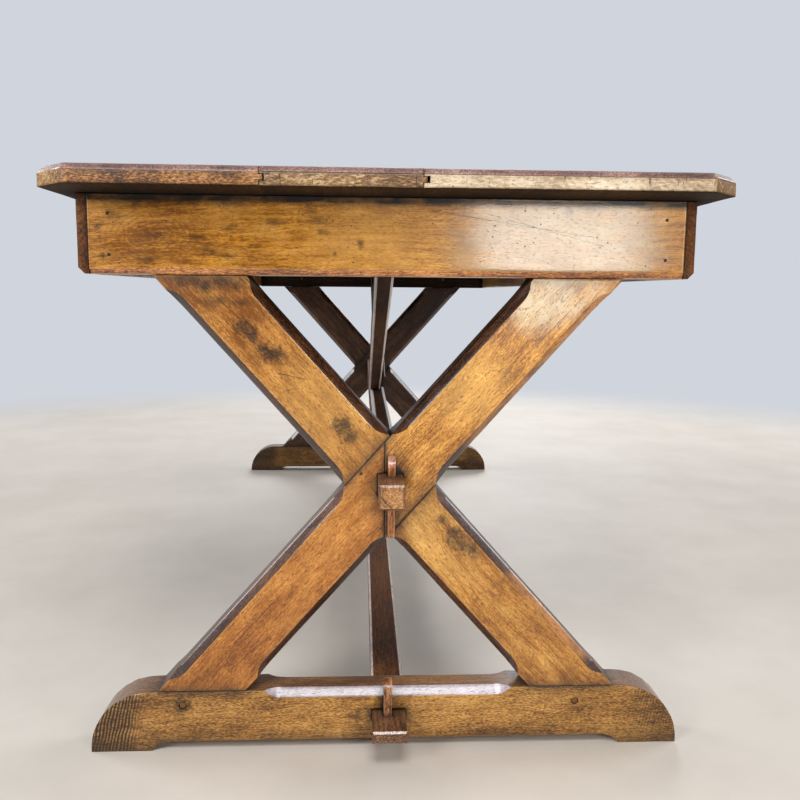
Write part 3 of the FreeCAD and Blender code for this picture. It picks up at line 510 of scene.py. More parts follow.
    def mark(self, kind: Mark, spot: Spot) -> Node:
        """Lay one mark round a place.

        Args:
            kind: What kind of mark it is.
            spot: Its middle and radius.

        Returns:
            How much of the mark's colour shows there.
        """
        patch = kind.value
        share = add(self.tree, MATH, {0: self.reach(spot, patch.draw), 1: spot[2]}, operation="DIVIDE")
        if patch.ragged_share:
            ragged = add(self.tree, NOISE, {
                "Vector": self.where, "Scale": per_metre(patch.ragged_mm), "Detail": patch.octaves,
                "Roughness": patch.coarseness,
            })
            share = add(self.tree, MATH, {0: ragged, 1: -patch.ragged_share, 2: share},
                        operation="MULTIPLY_ADD")
        return add(self.tree, MAP_RANGE, {
            "Value": share, "From Min": patch.full_to, "From Max": patch.gone_from, "To Min": patch.most,
            "To Max": 0.0,
        }, interpolation_type=patch.easing)

    def knot(self, spot: Spot) -> Node:
        """Curl fine dark rings round a knot, drawn out along the board and fading away from it.

        Args:
            spot: Its middle and how far its rings show.

        Returns:
            How much of the dark colour shows there.
        """
        tree = self.tree
        ring_gap = 4.6 * MM
        shake = add(tree, NOISE, {"Vector": self.where, "Scale": per_metre(22.0), "Detail": 3.0})
        reach = self.reach(spot, Mark.KNOT.value.draw)
        bent = add(tree, MATH, {0: shake, 1: 0.012, 2: reach}, operation="MULTIPLY_ADD")
        turns = add(tree, MATH, {0: bent, 1: math.tau / ring_gap}, operation="MULTIPLY")
        wave = add(tree, MATH, {0: turns}, operation="SINE")
        ring = add(tree, MAP_RANGE, {"Value": wave, "From Min": -0.2, "To Max": 0.55})
        return add(tree, MATH, {0: ring, 1: self.mark(Mark.KNOT, spot)}, operation="MULTIPLY")

    def scratch(self, line: Line) -> Node:
        """Draw one straight scratch or crack.

        Args:
            line: Its two ends and its half width.

        Returns:
            How much of its colour shows there.
        """
        tree = self.tree
        start_x, start_z, end_x, end_z, half_width = line
        start = (start_x, self.look.face_y, start_z)
        run = Vector((end_x - start_x, 0.0, end_z - start_z))
        aim = tuple(run.normalized())
        away = add(tree, VECTOR_MATH, {0: self.where, 1: start}, operation="SUBTRACT")
        along = add(tree, VECTOR_MATH, {0: away, 1: aim}, operation="DOT_PRODUCT")
        held = add(tree, MAP_RANGE, {"Value": along, "From Max": run.length, "To Max": run.length})
        foot = add(tree, VECTOR_MATH, {0: aim, "Scale": held}, operation="SCALE")
        shake = add(tree, NOISE, {"Vector": self.where, "Scale": per_metre(9.0), "Detail": 2.0})
        shake = shake.outputs["Color"]
        centred = add(tree, VECTOR_MATH, {0: shake, 1: (0.5, 0.5, 0.5)}, operation="SUBTRACT")
        offset = add(tree, VECTOR_MATH, {0: centred, "Scale": 2.4 * MM}, operation="SCALE")
        bent = add(tree, VECTOR_MATH, {0: away, 1: offset}, operation="ADD")
        reach = add(tree, VECTOR_MATH, {0: bent, 1: foot}, operation="DISTANCE")
        return add(tree, MAP_RANGE, {
            "Value": reach, "From Min": half_width * 0.5, "From Max": half_width * 1.6, "To Min": 0.75,
            "To Max": 0.0,
        })

    def darkened_toes_and_bottom(self) -> Node:
        """Darken a foot's toes between the saw's lines, less on the right toe, and darken the foot towards its
        lower edge.

        Returns:
            How much of the dark colour shows there.
        """
        tree = self.tree
        x, _, z = add(tree, "ShaderNodeSeparateXYZ", {0: self.where}).outputs
        out = add(tree, MATH, {0: x}, operation="ABSOLUTE")
        edge = add(tree, NOISE, {"Vector": self.where, "Scale": per_metre(30.0), "Detail": 3.0})
        far = add(tree, MATH, {0: edge, 1: 0.05, 2: out}, operation="MULTIPLY_ADD")
        start = self.look.soaked_from
        toe = add(tree, MAP_RANGE, {"Value": far, "From Min": start, "From Max": start + 0.03})
        tilt = add(tree, MATH, {0: z, 1: -0.22, 2: x}, operation="MULTIPLY_ADD")
        leaning = add(tree, "ShaderNodeCombineXYZ", {"X": tilt, "Z": z})
        saw = add(tree, "ShaderNodeTexWave", {
            "Vector": leaning, "Scale": WAVE_CELL * per_metre(4.4), "Distortion": 4.5,
            "Detail": 3.0, "Detail Scale": 0.5,
        }, wave_type="BANDS", bands_direction="X", wave_profile="SIN")
        line = add(tree, MAP_RANGE, {
            "Value": saw.outputs["Fac"], "From Min": 0.10, "From Max": 0.65, "To Min": 0.25, "To Max": 0.95,
        })
        less_on_right = add(tree, MAP_RANGE, {
            "Value": x, "From Min": -0.1, "From Max": 0.1, "To Min": 1.0, "To Max": 0.5,
        })
        dark = add(tree, MATH, {0: toe, 1: line}, operation="MULTIPLY")
        dark = add(tree, MATH, {0: dark, 1: less_on_right}, operation="MULTIPLY")
        above = add(tree, MATH, {0: edge, 1: -0.045, 2: z}, operation="MULTIPLY_ADD")
        darker_low = add(tree, MAP_RANGE, {
            "Value": above, "From Min": -0.022, "From Max": 0.012, "To Min": 0.7, "To Max": 0.0,
        })
        return add(tree, MATH, {0: dark, 1: darker_low}, operation="MAXIMUM")


@dataclass(frozen=True)
class HandWroughtIron:
    """Hammered iron under a skin of brown rust: dull, pitted, darker in the hollows."""

    name: str = "hand_wrought_iron_rusted"
    metal: str = "#4A4039"
    rust: str = "#5A3218"

    def make(self) -> Material:
        """Build the finish as a node material.

        Returns:
            The material.
        """
        material = bpy.data.materials.new(self.name)
        tree = bare_tree(material)
        where = add(tree, "ShaderNodeTexCoord").outputs["Object"]
        pits = add(tree, NOISE, {"Vector": where, "Scale": per_metre(1.8), "Detail": 4.0})
        skin = add(tree, NOISE, {"Vector": where, "Scale": per_metre(5.0), "Detail": 3.0})
        mask = add(tree, MAP_RANGE, {"Value": skin, "From Min": 0.4, "From Max": 0.62})
        colour = add(tree, "ShaderNodeMix", {"Factor": mask, 6: linear(self.metal), 7: linear(self.rust)},
                     data_type="RGBA")
        metallic = add(tree, MATH, {0: 1.0, 1: mask}, operation="SUBTRACT")
        rough = add(tree, MATH, {0: pits, 1: 0.3, 2: 0.45}, operation="MULTIPLY_ADD")
        bump = add(tree, "ShaderNodeBump", {"Height": pits, "Strength": 0.6, "Distance": 0.3 * MM})
        shader = add(tree, "ShaderNodeBsdfPrincipled", {
            "Base Color": colour, "Metallic": metallic, "Roughness": rough, "Normal": bump,
        })
        add(tree, "ShaderNodeOutputMaterial", {"Surface": shader})
        return material


def top_finishes() -> dict[str, AgedTimber]:
    """Give the finishes of the top by their short names.

    Returns:
        Each finish by its short name.
    """
    # Open end grain that drinks oil: dull, speckled with pores, checked, and wormed.
    end = AgedTimber("oiled_end_grain_mid", "#3A2410", "#8C6840", "#D0B286", "#7A5C3C", roughness=0.52,
                     coat=0.2, worm_share=0.9, crack_share=0.8, grime_and_shade_share=0.35, edge_share=0.8,
                     fleck_draw=(1.0, 0.30, 1.0), fibre_draw=(1.0, 0.10, 1.0))
    return {
        # Oil and wax over a scrubbed face: brown and even, with a soft sheen that shows the plane's hollows.
        "top": AgedTimber("oiled_hardwood_top", "#45261A", "#7A4A34", "#A06C50", "#B08A78", roughness=0.50,
                          specular=0.35, coat=0.1, coat_roughness=0.35),
        # Sleeves have polished the edge through to a dusty pink wood; its pale pink is partly a painted sheen.
        "top_arris": AgedTimber("oiled_hardwood_top_arris", "#38201A", "#7C5448", "#B8988C", "#D6BCB4",
                                roughness=0.46, coat=0.3, edge_share=0.2, ring_share=0.0, cloud_share=0.5),
        # The corners were clipped across the grain: dull, brown and speckled.
        "top_corner": AgedTimber("clipped_corner_of_top", "#3A2410", "#946C42", "#CCA878", "#A88660",
                                 roughness=0.7, coat=0.0, specular=0.15, edge_share=0.6, fleck_share=1.3),
        # Never finished, and smoked: dull, and nearly black as smoke and painted shade under the overhang.
        "top_under": AgedTimber("smoked_underside_in_painted_shade", "#120A04", "#30200F", "#573A20", "#4A3018",
                                roughness=0.75, coat=0.0, specular=0.2),
        "top_end_mid": end,
        # The right board's end is pale as a painted highlight.
        "top_end_pale": replace(end, name="end_grain_pale_painted_highlight", dark="#80664A", body="#CAB696",
                                pale="#E6DCC8", worn="#988064", roughness=0.5, fleck_share=0.5,
                                fibre_share=0.45),
        "top_end_brown": replace(end, name="soaked_end_grain_brown", dark="#2E1808", body="#94602C",
                                 pale="#C8955C", worn="#6E4A28", roughness=0.55, crack_share=0.7,
                                 grime_and_shade_share=0.5, edge_share=0.9, fleck_share=1.3),
    }


def apron_finishes() -> dict[str, AgedTimber]:
    """Give the finishes of the apron box by their short names.

    Returns:
        Each finish by its short name.
    """
    # Many coats of wax: honey brown, with a gloss that carries the window, and a strong dark rim of dirt and
    # painted shade where other pieces meet it.
    plain = AgedTimber("waxed_hardwood_apron", "#804A08", "#D8962E", "#F0B860", "#8A5A26", soot_and_shade="#0C0603",
                       roughness=0.36, coat=0.9, coat_roughness=0.13, blotch_share=1.0, worm_share=0.8,
                       fleck_share=0.75, pore_share=0.6, grime_and_shade_share=1.0, grime_and_shade_band=(0.22, 0.50),
                       face_y=-0.9025)
    # The near board has a knot, smudges of dirt that are partly painted shade under the top, a painted light
    # pool in its middle, painted highlights towards its right end and two long scratches.
    marked = replace(
        plain, name="waxed_hardwood_apron_marked", highlight_colour="#B29C74",
        painted_light_pools=((-0.03, 0.68, 0.10),),
        knots=((-0.2955, 0.6861, 0.055),),
        painted_highlights=(
            (0.1764, 0.7201, 0.09), (0.1293, 0.6725, 0.08), (0.1984, 0.6800, 0.10),
            (0.2600, 0.7077, 0.09), (0.2616, 0.6671, 0.09), (0.3104, 0.6745, 0.06),
        ),
        smudges_and_shade=(
            (-0.3425, 0.7101, 0.013), (-0.2955, 0.6861, 0.015), (-0.3031, 0.6562, 0.013),
            (-0.2328, 0.6686, 0.015), (-0.2441, 0.6834, 0.012), (-0.2062, 0.6622, 0.015),
            (-0.2022, 0.6954, 0.011), (-0.1452, 0.7027, 0.012), (-0.1015, 0.7165, 0.012),
            (-0.0914, 0.7067, 0.012), (-0.0881, 0.6918, 0.010), (-0.3370, 0.7290, 0.030),
            (-0.2943, 0.7290, 0.030), (-0.2481, 0.7290, 0.027), (-0.2017, 0.7290, 0.024),
            (-0.1722, 0.6735, 0.008),
        ),
        stains=(
            (-0.0390, 0.6775, 0.006), (-0.0713, 0.6653, 0.003), (0.2244, 0.7212, 0.006),
            (-0.3650, 0.6949, 0.005), (-0.3591, 0.6596, 0.005),
        ),
        scratches=((0.0675, 0.7171, 0.2580, 0.6887, 0.0007), (0.1252, 0.7154, 0.2709, 0.6778, 0.0006)),
    )
    return {
        "apron": plain,
        "marked_apron": marked,
        # End grain that has soaked up oil: a dark brown strip beside the end board.
        "apron_end": AgedTimber("soaked_end_grain_apron", "#2E160A", "#80481A", "#B0722E", "#6A3E18",
                                roughness=0.6, specular=0.3, coat=0.1, crack_share=0.6),
        # A red-brown bevel whose edge catches the light.
        "apron_chamfer": AgedTimber("burnished_red_chamfer", "#5A280C", "#B8702E", "#E6AC68", "#F0C890",
                                    roughness=0.30, coat=0.8, coat_roughness=0.14, edge_share=0.0,
                                    ring_share=0.0, cloud_share=0.6),
        # Sawn and left bare inside: brown and dull.
        "inner": AgedTimber("sawn_softwood_inner", "#150C06", "#301E12", "#4C3626", "#423020", roughness=0.8,
                            coat=0.0, specular=0.2, worm_share=0.6),
    }


def leg_finishes() -> dict[str, AgedTimber]:
    """Give the finishes of the legs by their short names.

    Returns:
        Each finish by its short name.
    """
    # Painted highlights along the leg bevels that face the light: one radius, and each middle as x and z.
    glint = 0.045
    glints = (
        (0.2836, 0.6126), (0.2632, 0.5914), (0.2426, 0.5738), (0.2150, 0.5514), (0.1819, 0.5173),
        (0.1499, 0.4830), (0.1178, 0.4473), (0.1864, 0.2238), (0.2187, 0.1849), (0.2512, 0.1456),
    )
    return {
        # Amber hardwood polished with wax: warm, flecked, darker at knots, with an uneven low gloss; with
        # painted light pools and highlights, and smudges that are partly painted shade under the apron.
        "leg": AgedTimber(
            "waxed_hardwood_leg", "#78440E", "#CA8C3A", "#F0BC66", "#E0B070", highlight_colour="#D8C6A4",
            fleck_share=0.75, cloud_share=0.60, blotch_share=0.85, coat=0.5,
            painted_light_pools=((-0.085, 0.47, 0.10), (0.10, 0.50, 0.08)),
            painted_highlights=((0.2290, 0.6189, 0.06), (0.1941, 0.6117, 0.05), (0.1806, 0.5944, 0.04)),
            smudges_and_shade=(
                (-0.2376, 0.6251, 0.024), (-0.2105, 0.6287, 0.026), (-0.2575, 0.6317, 0.018),
                (-0.1908, 0.6018, 0.013), (-0.2200, 0.6050, 0.022),
            ),
            stains=(
                (-0.1916, 0.5765, 0.010), (-0.1829, 0.5689, 0.014), (-0.1768, 0.5588, 0.010),
                (-0.1644, 0.5436, 0.012), (-0.1543, 0.5385, 0.015), (-0.1442, 0.5347, 0.012),
                (-0.0654, 0.4482, 0.014), (-0.0590, 0.4403, 0.014), (-0.0499, 0.4298, 0.010),
                (0.0867, 0.3017, 0.013), (0.0802, 0.2922, 0.010), (0.0964, 0.2852, 0.017),
                (0.1100, 0.2754, 0.014), (0.1128, 0.3019, 0.009), (-0.2344, 0.6212, 0.007),
                (-0.1971, 0.6228, 0.006), (-0.2653, 0.6259, 0.006), (0.0700, 0.3190, 0.008),
            ),
            scratches=(
                (-0.1445, 0.5140, -0.1097, 0.5057, 0.0006), (-0.1383, 0.4908, -0.1153, 0.4947, 0.0005),
                (0.2481, 0.6146, 0.1892, 0.5510, 0.0005), (0.1892, 0.5510, 0.1187, 0.4823, 0.0004),
            ),
            scuffs=((0.1101, 0.5149, 0.1196, 0.5111, 0.0009), (0.1196, 0.5111, 0.1236, 0.5052, 0.0009)),
        ),
        # The lower half leg is of a redder timber under the same wax.
        "red_leg": AgedTimber("waxed_red_hardwood_leg", "#743E0E", "#C27C30", "#E6A652", "#DCA868",
                              fleck_share=0.75, cloud_share=0.60, coat=0.4),
        # The narrow sides and the inner faces: the same wood, darkened as painted shade.
        "leg_side": AgedTimber("hardwood_leg_side_in_painted_shade", "#1C100A", "#4A3020", "#74543C", "#2E1C10",
                               specular=0.3, coat=0.1),
        # Dark bevels polished by hands: glossy, so that they read as a line beside each face; painted
        # highlights lie on those that face the light.
        "chamfer": AgedTimber("burnished_dark_chamfer", "#160A04", "#44240F", "#74492A", "#1E0F06",
                              roughness=0.26, coat=0.7, coat_roughness=0.14, edge_share=0.0, ring_share=0.0,
                              highlight_colour="#D8934A", face_y=-0.8955,
                              painted_highlights=tuple((x, z, glint) for x, z in glints)),
    }


def foot_finishes() -> dict[str, AgedTimber]:
    """Give the finishes of the feet by their short names.

    Returns:
        Each finish by its short name.
    """
    return {
        # Kicked: the same wax over dirtier wood, its ends soaked dark between the saw's lines and darker
        # towards the bottom.
        "foot": AgedTimber("waxed_hardwood_foot", "#54320E", "#AC7834", "#D6A458", "#D8A860", worm_share=0.7,
                           fleck_share=1.2, edge_share=0.1, face_y=-0.9058, soaked_from=0.345,
                           stains=((-0.2825, 0.0605, 0.013), (-0.2765, 0.0655, 0.013),
                                   (-0.0440, 0.0450, 0.012)),
                           scratches=((0.1453, 0.0308, 0.1852, 0.0333, 0.0011),)),
        # Dust has settled into the wax of the upper face: brown, even and duller.
        "foot_top": AgedTimber("dusty_waxed_foot_top", "#38200E", "#6E4824", "#946A40", "#4A3018",
                               roughness=0.5),
        # Shoes have scuffed the bevels, and their pale grey-brown line is mostly a painted sheen of the pale
        # room.
        "foot_chamfer": AgedTimber("scuffed_chamfer_painted_sheen", "#685A58", "#A0949A", "#C8BEC8", "#988880",
                                   fleck_share=0.35, fibre_share=0.25, roughness=0.34, coat=0.6,
                                   coat_roughness=0.14, edge_share=0.0, ring_share=0.0, cloud_share=0.7),
    }


def bar_finishes() -> dict[str, AgedTimber]:
    """Give the finishes of the stretchers, wedges and pegs by their short names.

    Returns:
        Each finish by its short name.
    """
    return {
        # The bars' bevels are pale as a painted highlight, so that they light up against the dark faces.
        "bright_chamfer": AgedTimber("pale_chamfer_painted_highlight", "#5A3E32", "#A48474", "#DCC6BC", "#D8BCAC",
                                     roughness=0.34, coat=0.5, coat_roughness=0.16, edge_share=0.0,
                                     ring_share=0.0),
        # Brown-black bars, darker than the legs.
        "stretcher": AgedTimber("dark_hardwood_stretcher", "#1E0D04", "#4A2A12", "#6E4624", "#4A2E1C",
                                roughness=0.62, specular=0.12, coat=0.0),
        # The tenons' cheeks stand out beyond the legs and are waxed with them: brown, not black.
        "tenon_side": AgedTimber("waxed_hardwood_tenon", "#2A160A", "#6A4428", "#986C48", "#4A3018"),
        # Tenon ends dressed with a chisel and waxed: pores and fine checks in a tan square of end grain.
        "mid_tenon_end": AgedTimber("waxed_end_grain_tenon", "#4E2C10", "#9C6C3C", "#C89664", "#7A5430",
                                    roughness=0.45, crack_share=0.35, fleck_mm=1.8,
                                    fleck_draw=(1.0, 1.0, 1.0), ring_share=0.0, face_y=-0.9705,
                                    scratches=((-0.0135, 0.3688, -0.0074, 0.3612, 0.0009),
                                               (-0.0074, 0.3612, 0.0019, 0.3524, 0.0009))),
        "low_tenon_end": AgedTimber("dark_end_grain_tenon", "#2A1408", "#5C3C22", "#A87C58", "#5A3C24",
                                    roughness=0.42, crack_share=0.5, fleck_mm=2.2, fleck_draw=(1.0, 0.6, 1.6),
                                    fleck_share=1.1, ring_share=0.0),
        "dark_end": AgedTimber("soaked_end_grain", "#2E1B0A", "#5A4022", "#866338", "#8F7048", roughness=0.6,
                               coat=0.15, crack_share=0.5),
        # Keys of redder wood, handled often: orange below, with a pale pink painted highlight on the crown,
        # which faces up.
        "wedge": AgedTimber("handled_hardwood_wedge", "#5E2C0A", "#BC7230", "#DC9A58", "#E0B890",
                            roughness=0.34, coat=0.5),
        "low_wedge": AgedTimber("kicked_hardwood_wedge", "#3A1C0A", "#96603A", "#D8A478", "#D8B090",
                                roughness=0.36, coat=0.4, cloud_mm=12.0, cloud_share=0.9),
        "wedge_crown": AgedTimber("hardwood_crown_painted_highlight", "#7E4630", "#C8927A", "#F0CCBC", "#F0D0C0",
                                  roughness=0.34, coat=0.6, ring_share=0.0),
        # Riven pegs, driven dry: brown and dull beside the waxed faces.
        "peg": AgedTimber("riven_hardwood_peg", "#2A1808", "#6E4822", "#9A6E3A", "#6B4A2C", roughness=0.6,
                          coat=0.1),
    }


def make_finishes() -> dict[str, Material]:
    """Make every finish once, with an unmarked copy darkened as painted shade for each timber of the far
    trestle.

    Returns:
        Each finish by its short name.
    """
    woods = {**top_finishes(), **apron_finishes(), **leg_finishes(), **foot_finishes(), **bar_finishes()}
    for kind, tone in (("leg", 0.4), ("red_leg", 0.4), ("foot", 0.7)):
        wood = woods.pop(kind)
        woods[f"{kind}_front"] = wood
        woods[f"{kind}_back"] = replace(
            wood, name=f"{wood.name}_dark", tone=tone, specular=0.3, coat=0.2,
            stains=(), painted_light_pools=(), painted_highlights=(), smudges_and_shade=(), scratches=(), scuffs=(),
        )
    made = {name: wood.make() for name, wood in woods.items()}
    made["iron"] = HandWroughtIron().make()
    return made


# ---------------------------------------------------------------- worn timber

# How much of a face's normal lies along an axis where the face is square to it, and where it slopes to it.
SQUARE = 0.8
SLOPING = 0.35
# Points nearer than this are one point, and a cut takes in points nearer than this.
SAME_POINT = 0.01 * MM
# What lies nearer to the floor than this stands on it.
ON_FLOOR = 0.5 * MM
# A neighbour nearer than this guards an arris from wear.
GUARDED = 0.2 * MM
# A face has to reach this far from an arris for the arris to wear.
LEAST_LAND = 4.5 * MM
# How fast the wear falls off beside an arris.
WEAR_REACH = 1.1 * MM
# Beyond this many times the length over which it falls off, no dirt and painted shade beside joints are drawn.
GRIME_AND_SHADE_REACHES = 4
# Faces that meet at less than the first angle are one surface, and at the second an arris wears most.
CREASE = math.radians(25.0)
SHARP = math.radians(80.0)


class Surface(Enum):
    """The kinds of surface that a timber shows. The value is the face attribute that marks them."""

    ALONG = "along_grain"
    END = "end_grain"
    CHAMFER = "chamfered"
    APART = "set_apart"
    CORNER = "clipped_corner"

    @property
    def socket(self) -> str:
        """The wear tree's input that takes this surface's finish."""
        return f"{self.name.title()} Finish"


class PieceTree:
    """A Geometry Nodes tree with named inputs that shapes one piece at a time."""

    def __init__(self, name: str, inputs: dict[str, str]) -> None:
        """Build the tree once.

        Args:
            name: The tree's name.
            inputs: Each input's name, with the kind of value that it takes.
        """
        self.group = bpy.data.node_groups.new(name, "GeometryNodeTree")
        self.identifiers: dict[str, str] = {}
        for label, kind in inputs.items():
            socket = self.group.interface.new_socket(label, in_out="INPUT", socket_type=f"NodeSocket{kind}")
            self.identifiers[label] = socket.identifier
        self.group.interface.new_socket("Piece", in_out="OUTPUT", socket_type="NodeSocketGeometry")
        self.wire(self.group)

    def wire(self, tree: Tree) -> None:
        """Add the tree's nodes and links."""
        raise NotImplementedError

    def apply(self, piece: Piece, values: dict[str, object]) -> None:
        """Run the tree on one piece, and leave it a plain mesh without the modifier.

        Args:
            piece: The piece, whose mesh the tree takes in.
            values: The value of each other input by its name.
        """
        modifier = piece.modifiers.new(self.group.name, "NODES")
        modifier.node_group = self.group
        for name, value in values.items():
            modifier[self.identifiers[name]] = value
        graph = bpy.context.evaluated_depsgraph_get()
        mesh = bpy.data.meshes.new_from_object(piece.evaluated_get(graph), preserve_all_data_layers=True,
                                               depsgraph=graph)
        piece.modifiers.clear()
        piece.data = mesh
        mesh.name = piece.name


class WearTree(PieceTree):
    """Geometry Nodes that round a timber's arrises and hollow its faces, always inwards."""

    def __init__(self) -> None:
        """Build the tree with one finish for each kind of surface."""
        super().__init__("worn_timber", {
            "Timber": "Geometry", "Arris Wear": "Float", "Hollow Depth": "Float", "Seed": "Float",
            **{surface.socket: "Material" for surface in Surface},
        })

    def wire(self, tree: Tree) -> None:
        """Add the tree's nodes and links.

        Args:
            tree: The tree.
        """
        given = add(tree, "NodeGroupInput").outputs
        place = add(tree, "GeometryNodeInputPosition")
        worn_off = add(tree, NAMED_ATTRIBUTE, {"Name": WEAR}, data_type="FLOAT")
        loose = add(tree, NAMED_ATTRIBUTE, {"Name": LOOSE}, data_type="FLOAT")
        knocks = add(tree, NOISE, {
            "Vector": place, "W": given["Seed"], "Scale": per_metre(38.0), "Detail": 3.0, "Roughness": 0.6,
        }, noise_dimensions="4D")
        lifted = add(tree, MAP_RANGE, {"Value": knocks, "From Min": 0.32, "From Max": 0.70, "To Min": 0.25})
        planed = add(tree, NOISE, {
            "Vector": place, "W": given["Seed"], "Scale": per_metre(110.0), "Detail": 2.0, "Roughness": 0.5,
        }, noise_dimensions="4D")
        arris = add(tree, MATH, {0: lifted, 1: given["Arris Wear"]}, operation="MULTIPLY")
        arris = add(tree, MATH, {0: arris, 1: worn_off}, operation="MULTIPLY")
        hollow = add(tree, MATH, {0: planed, 1: given["Hollow Depth"]}, operation="MULTIPLY")
        depth = add(tree, MATH, {0: hollow, 1: loose, 2: arris}, operation="MULTIPLY_ADD")
        inwards = add(tree, MATH, {0: depth, 1: -1.0}, operation="MULTIPLY")
        normal = add(tree, "GeometryNodeInputNormal")
        move = add(tree, VECTOR_MATH, {0: normal, "Scale": inwards}, operation="SCALE")
        worn = add(tree, "GeometryNodeSetPosition", {"Geometry": given["Timber"], "Offset": move})
        real = add(tree, "GeometryNodeRealizeInstances", {"Geometry": worn})
        dressed = add(tree, "GeometryNodeSetMaterial", {
            "Geometry": real, "Material": given[Surface.ALONG.socket],
        })
        for surface in list(Surface)[1:]:
            marked = add(tree, NAMED_ATTRIBUTE, {"Name": surface.value}, data_type="BOOLEAN")
            dressed = add(tree, "GeometryNodeSetMaterial", {
                "Geometry": dressed, "Selection": marked, "Material": given[surface.socket],
            })
        add(tree, "NodeGroupOutput", {0: dressed})


@dataclass
class Timber:
    """One board or bar, taken from its node, sliced, worn and finished."""

    node: str
    slot: str
    along: Vector
    seed: float
    arris_mm: float = 1.1
    hollow_mm: float = 0.5
    body: str = "table"
    # The grid's step along and across the grain, and how far inside each larger face it is cut once more.
    spacing_mm: float = 14.0
    across_mm: float = 22.0
    support_mm: tuple[float, ...] = (1.3, 3.6)
    # The least size of a flat face that is cut inside, and of one whose arrises wear.
    least_plane_mm2: float = 900.0
    least_worn_mm2: float = 240.0
    # Where the pith lies, and how far the dark edge and the dirt and painted shade beside joints reach.
    pith_mm: tuple[float, float] = (70.0, -95.0)
    edge_mm: float = 6.0
    grime_and_shade_mm: float = 6.5
    # How the names start of the pieces beside which no dirt and painted shade gather.
    kin: tuple[str, ...] = ()

    def turn(self) -> Matrix:
        """Work out how the timber lies.

        Returns:
            The turn from the timber's own axes, length first, to the frame.
        """
        length = self.along.normalized()
        side = ALONG_TABLE if abs(length.y) < 0.9 else Vector((-1.0, 0.0, 0.0))
        side = (side - length * side.dot(length)).normalized()
        width = length.cross(side)
        return Matrix((length, side, width)).transposed()

    def surface_of(self, normal: Vector, middle: Vector) -> Surface:
        """Say what kind of surface a face is.

        Args:
            normal: The face's normal in the timber's own axes.
            middle: Its middle in the timber's own axes; not used here.

        Returns:
            Its kind.
        """
        if abs(normal.x) > SQUARE:
            return Surface.END
        if min(abs(normal.y), abs(normal.z)) > SLOPING:
            return Surface.CHAMFER
        return Surface.ALONG

    def build(self, wear: WearTree, finishes: dict[Surface, Material], near: dict[str, BVHTree]) -> None:
        """Make the piece and put it in the place of its node.

        Args:
            wear: The tree that wears it.
            finishes: The finish of each kind of surface.
            near: The other nodes' surfaces, beside which dirt and painted shade gather.
        """
        mesh = self.sliced(self.neighbours(near, 1.0, ()))
        self.mark_grime_and_shade(mesh, self.neighbours(near, GRIME_AND_SHADE_REACHES * self.grime_and_shade_mm, self.kin))
        piece = new_object(f"worn_{self.node}", mesh)
        wear.apply(piece, {
            "Arris Wear": self.arris_mm * MM, "Hollow Depth": self.hollow_mm * MM, "Seed": self.seed,
            **{surface.socket: finish for surface, finish in finishes.items()},
        })
        stand_in(piece, self.node, self.body)

    def neighbours(self, near: dict[str, BVHTree], reach_mm: float, kin: tuple[str, ...]) -> list[BVHTree]:
        """Pick out the pieces whose boxes come near this one's.

        Args:
            near: Every piece's surface.
            reach_mm: How near.
            kin: How the names start of the pieces that are left out.

        Returns:
            Their surfaces.
        """
        low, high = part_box(self.node)
        reach = reach_mm * MM
        others = []
        for name, surface in near.items():
            other_low, other_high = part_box(name)
            apart = any(other_low[axis] > high[axis] + reach or other_high[axis] < low[axis] - reach
                        for axis in range(3))
            if name != self.node and not apart and not name.startswith(kin):
                others.append(surface)
        return others

    def sliced(self, others: list[BVHTree]) -> bpy.types.Mesh:
        """Slice a merged copy of the node's solid into a grid with close lines beside each arris.

        Args:
            others: The surfaces near it.

        Returns:
            The mesh in the frame, with its attributes.
        """
        turn = self.turn()
        made = bmesh.new()
        made.from_mesh(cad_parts[self.node].data)
        bmesh.ops.remove_doubles(made, verts=made.verts, dist=SAME_POINT)
        bmesh.ops.dissolve_limit(made, angle_limit=math.radians(0.6), verts=made.verts, edges=made.edges)
        bmesh.ops.transform(made, matrix=turn.transposed().to_4x4(), verts=made.verts)
        planes = self.outer_planes(made)
        for point, normal in planes:
            for depth in self.support_mm:
                self.cut(made, point - normal * depth * MM, normal)
        for axis, step in enumerate((self.spacing_mm, self.across_mm, self.across_mm)):
            low = min(vertex.co[axis] for vertex in made.verts)
            high = max(vertex.co[axis] for vertex in made.verts)
            count = max(1, round((high - low) / (step * MM)))
            normal = Vector([1.0 if number == axis else 0.0 for number in range(3)])
            for number in range(1, count):
                self.cut(made, normal * (low + (high - low) * number / count), normal)
        bmesh.ops.remove_doubles(made, verts=made.verts, dist=3 * SAME_POINT)
        bmesh.ops.dissolve_degenerate(made, dist=2 * SAME_POINT, edges=made.edges)
        self.mark_places(made, turn, planes)
        self.mark_wear(made, turn, others)
        bmesh.ops.transform(made, matrix=turn.to_4x4(), verts=made.verts)
        mesh = bpy.data.meshes.new(f"worn_{self.node}")
        made.to_mesh(mesh)
        made.free()
        return mesh

    def cut(self, made: bmesh.types.BMesh, point: Vector, normal: Vector) -> None:
        """Slice the whole mesh along one plane."""
        geometry = list(made.verts) + list(made.edges) + list(made.faces)
        bmesh.ops.bisect_plane(made, geom=geometry, dist=SAME_POINT, plane_co=point, plane_no=normal)

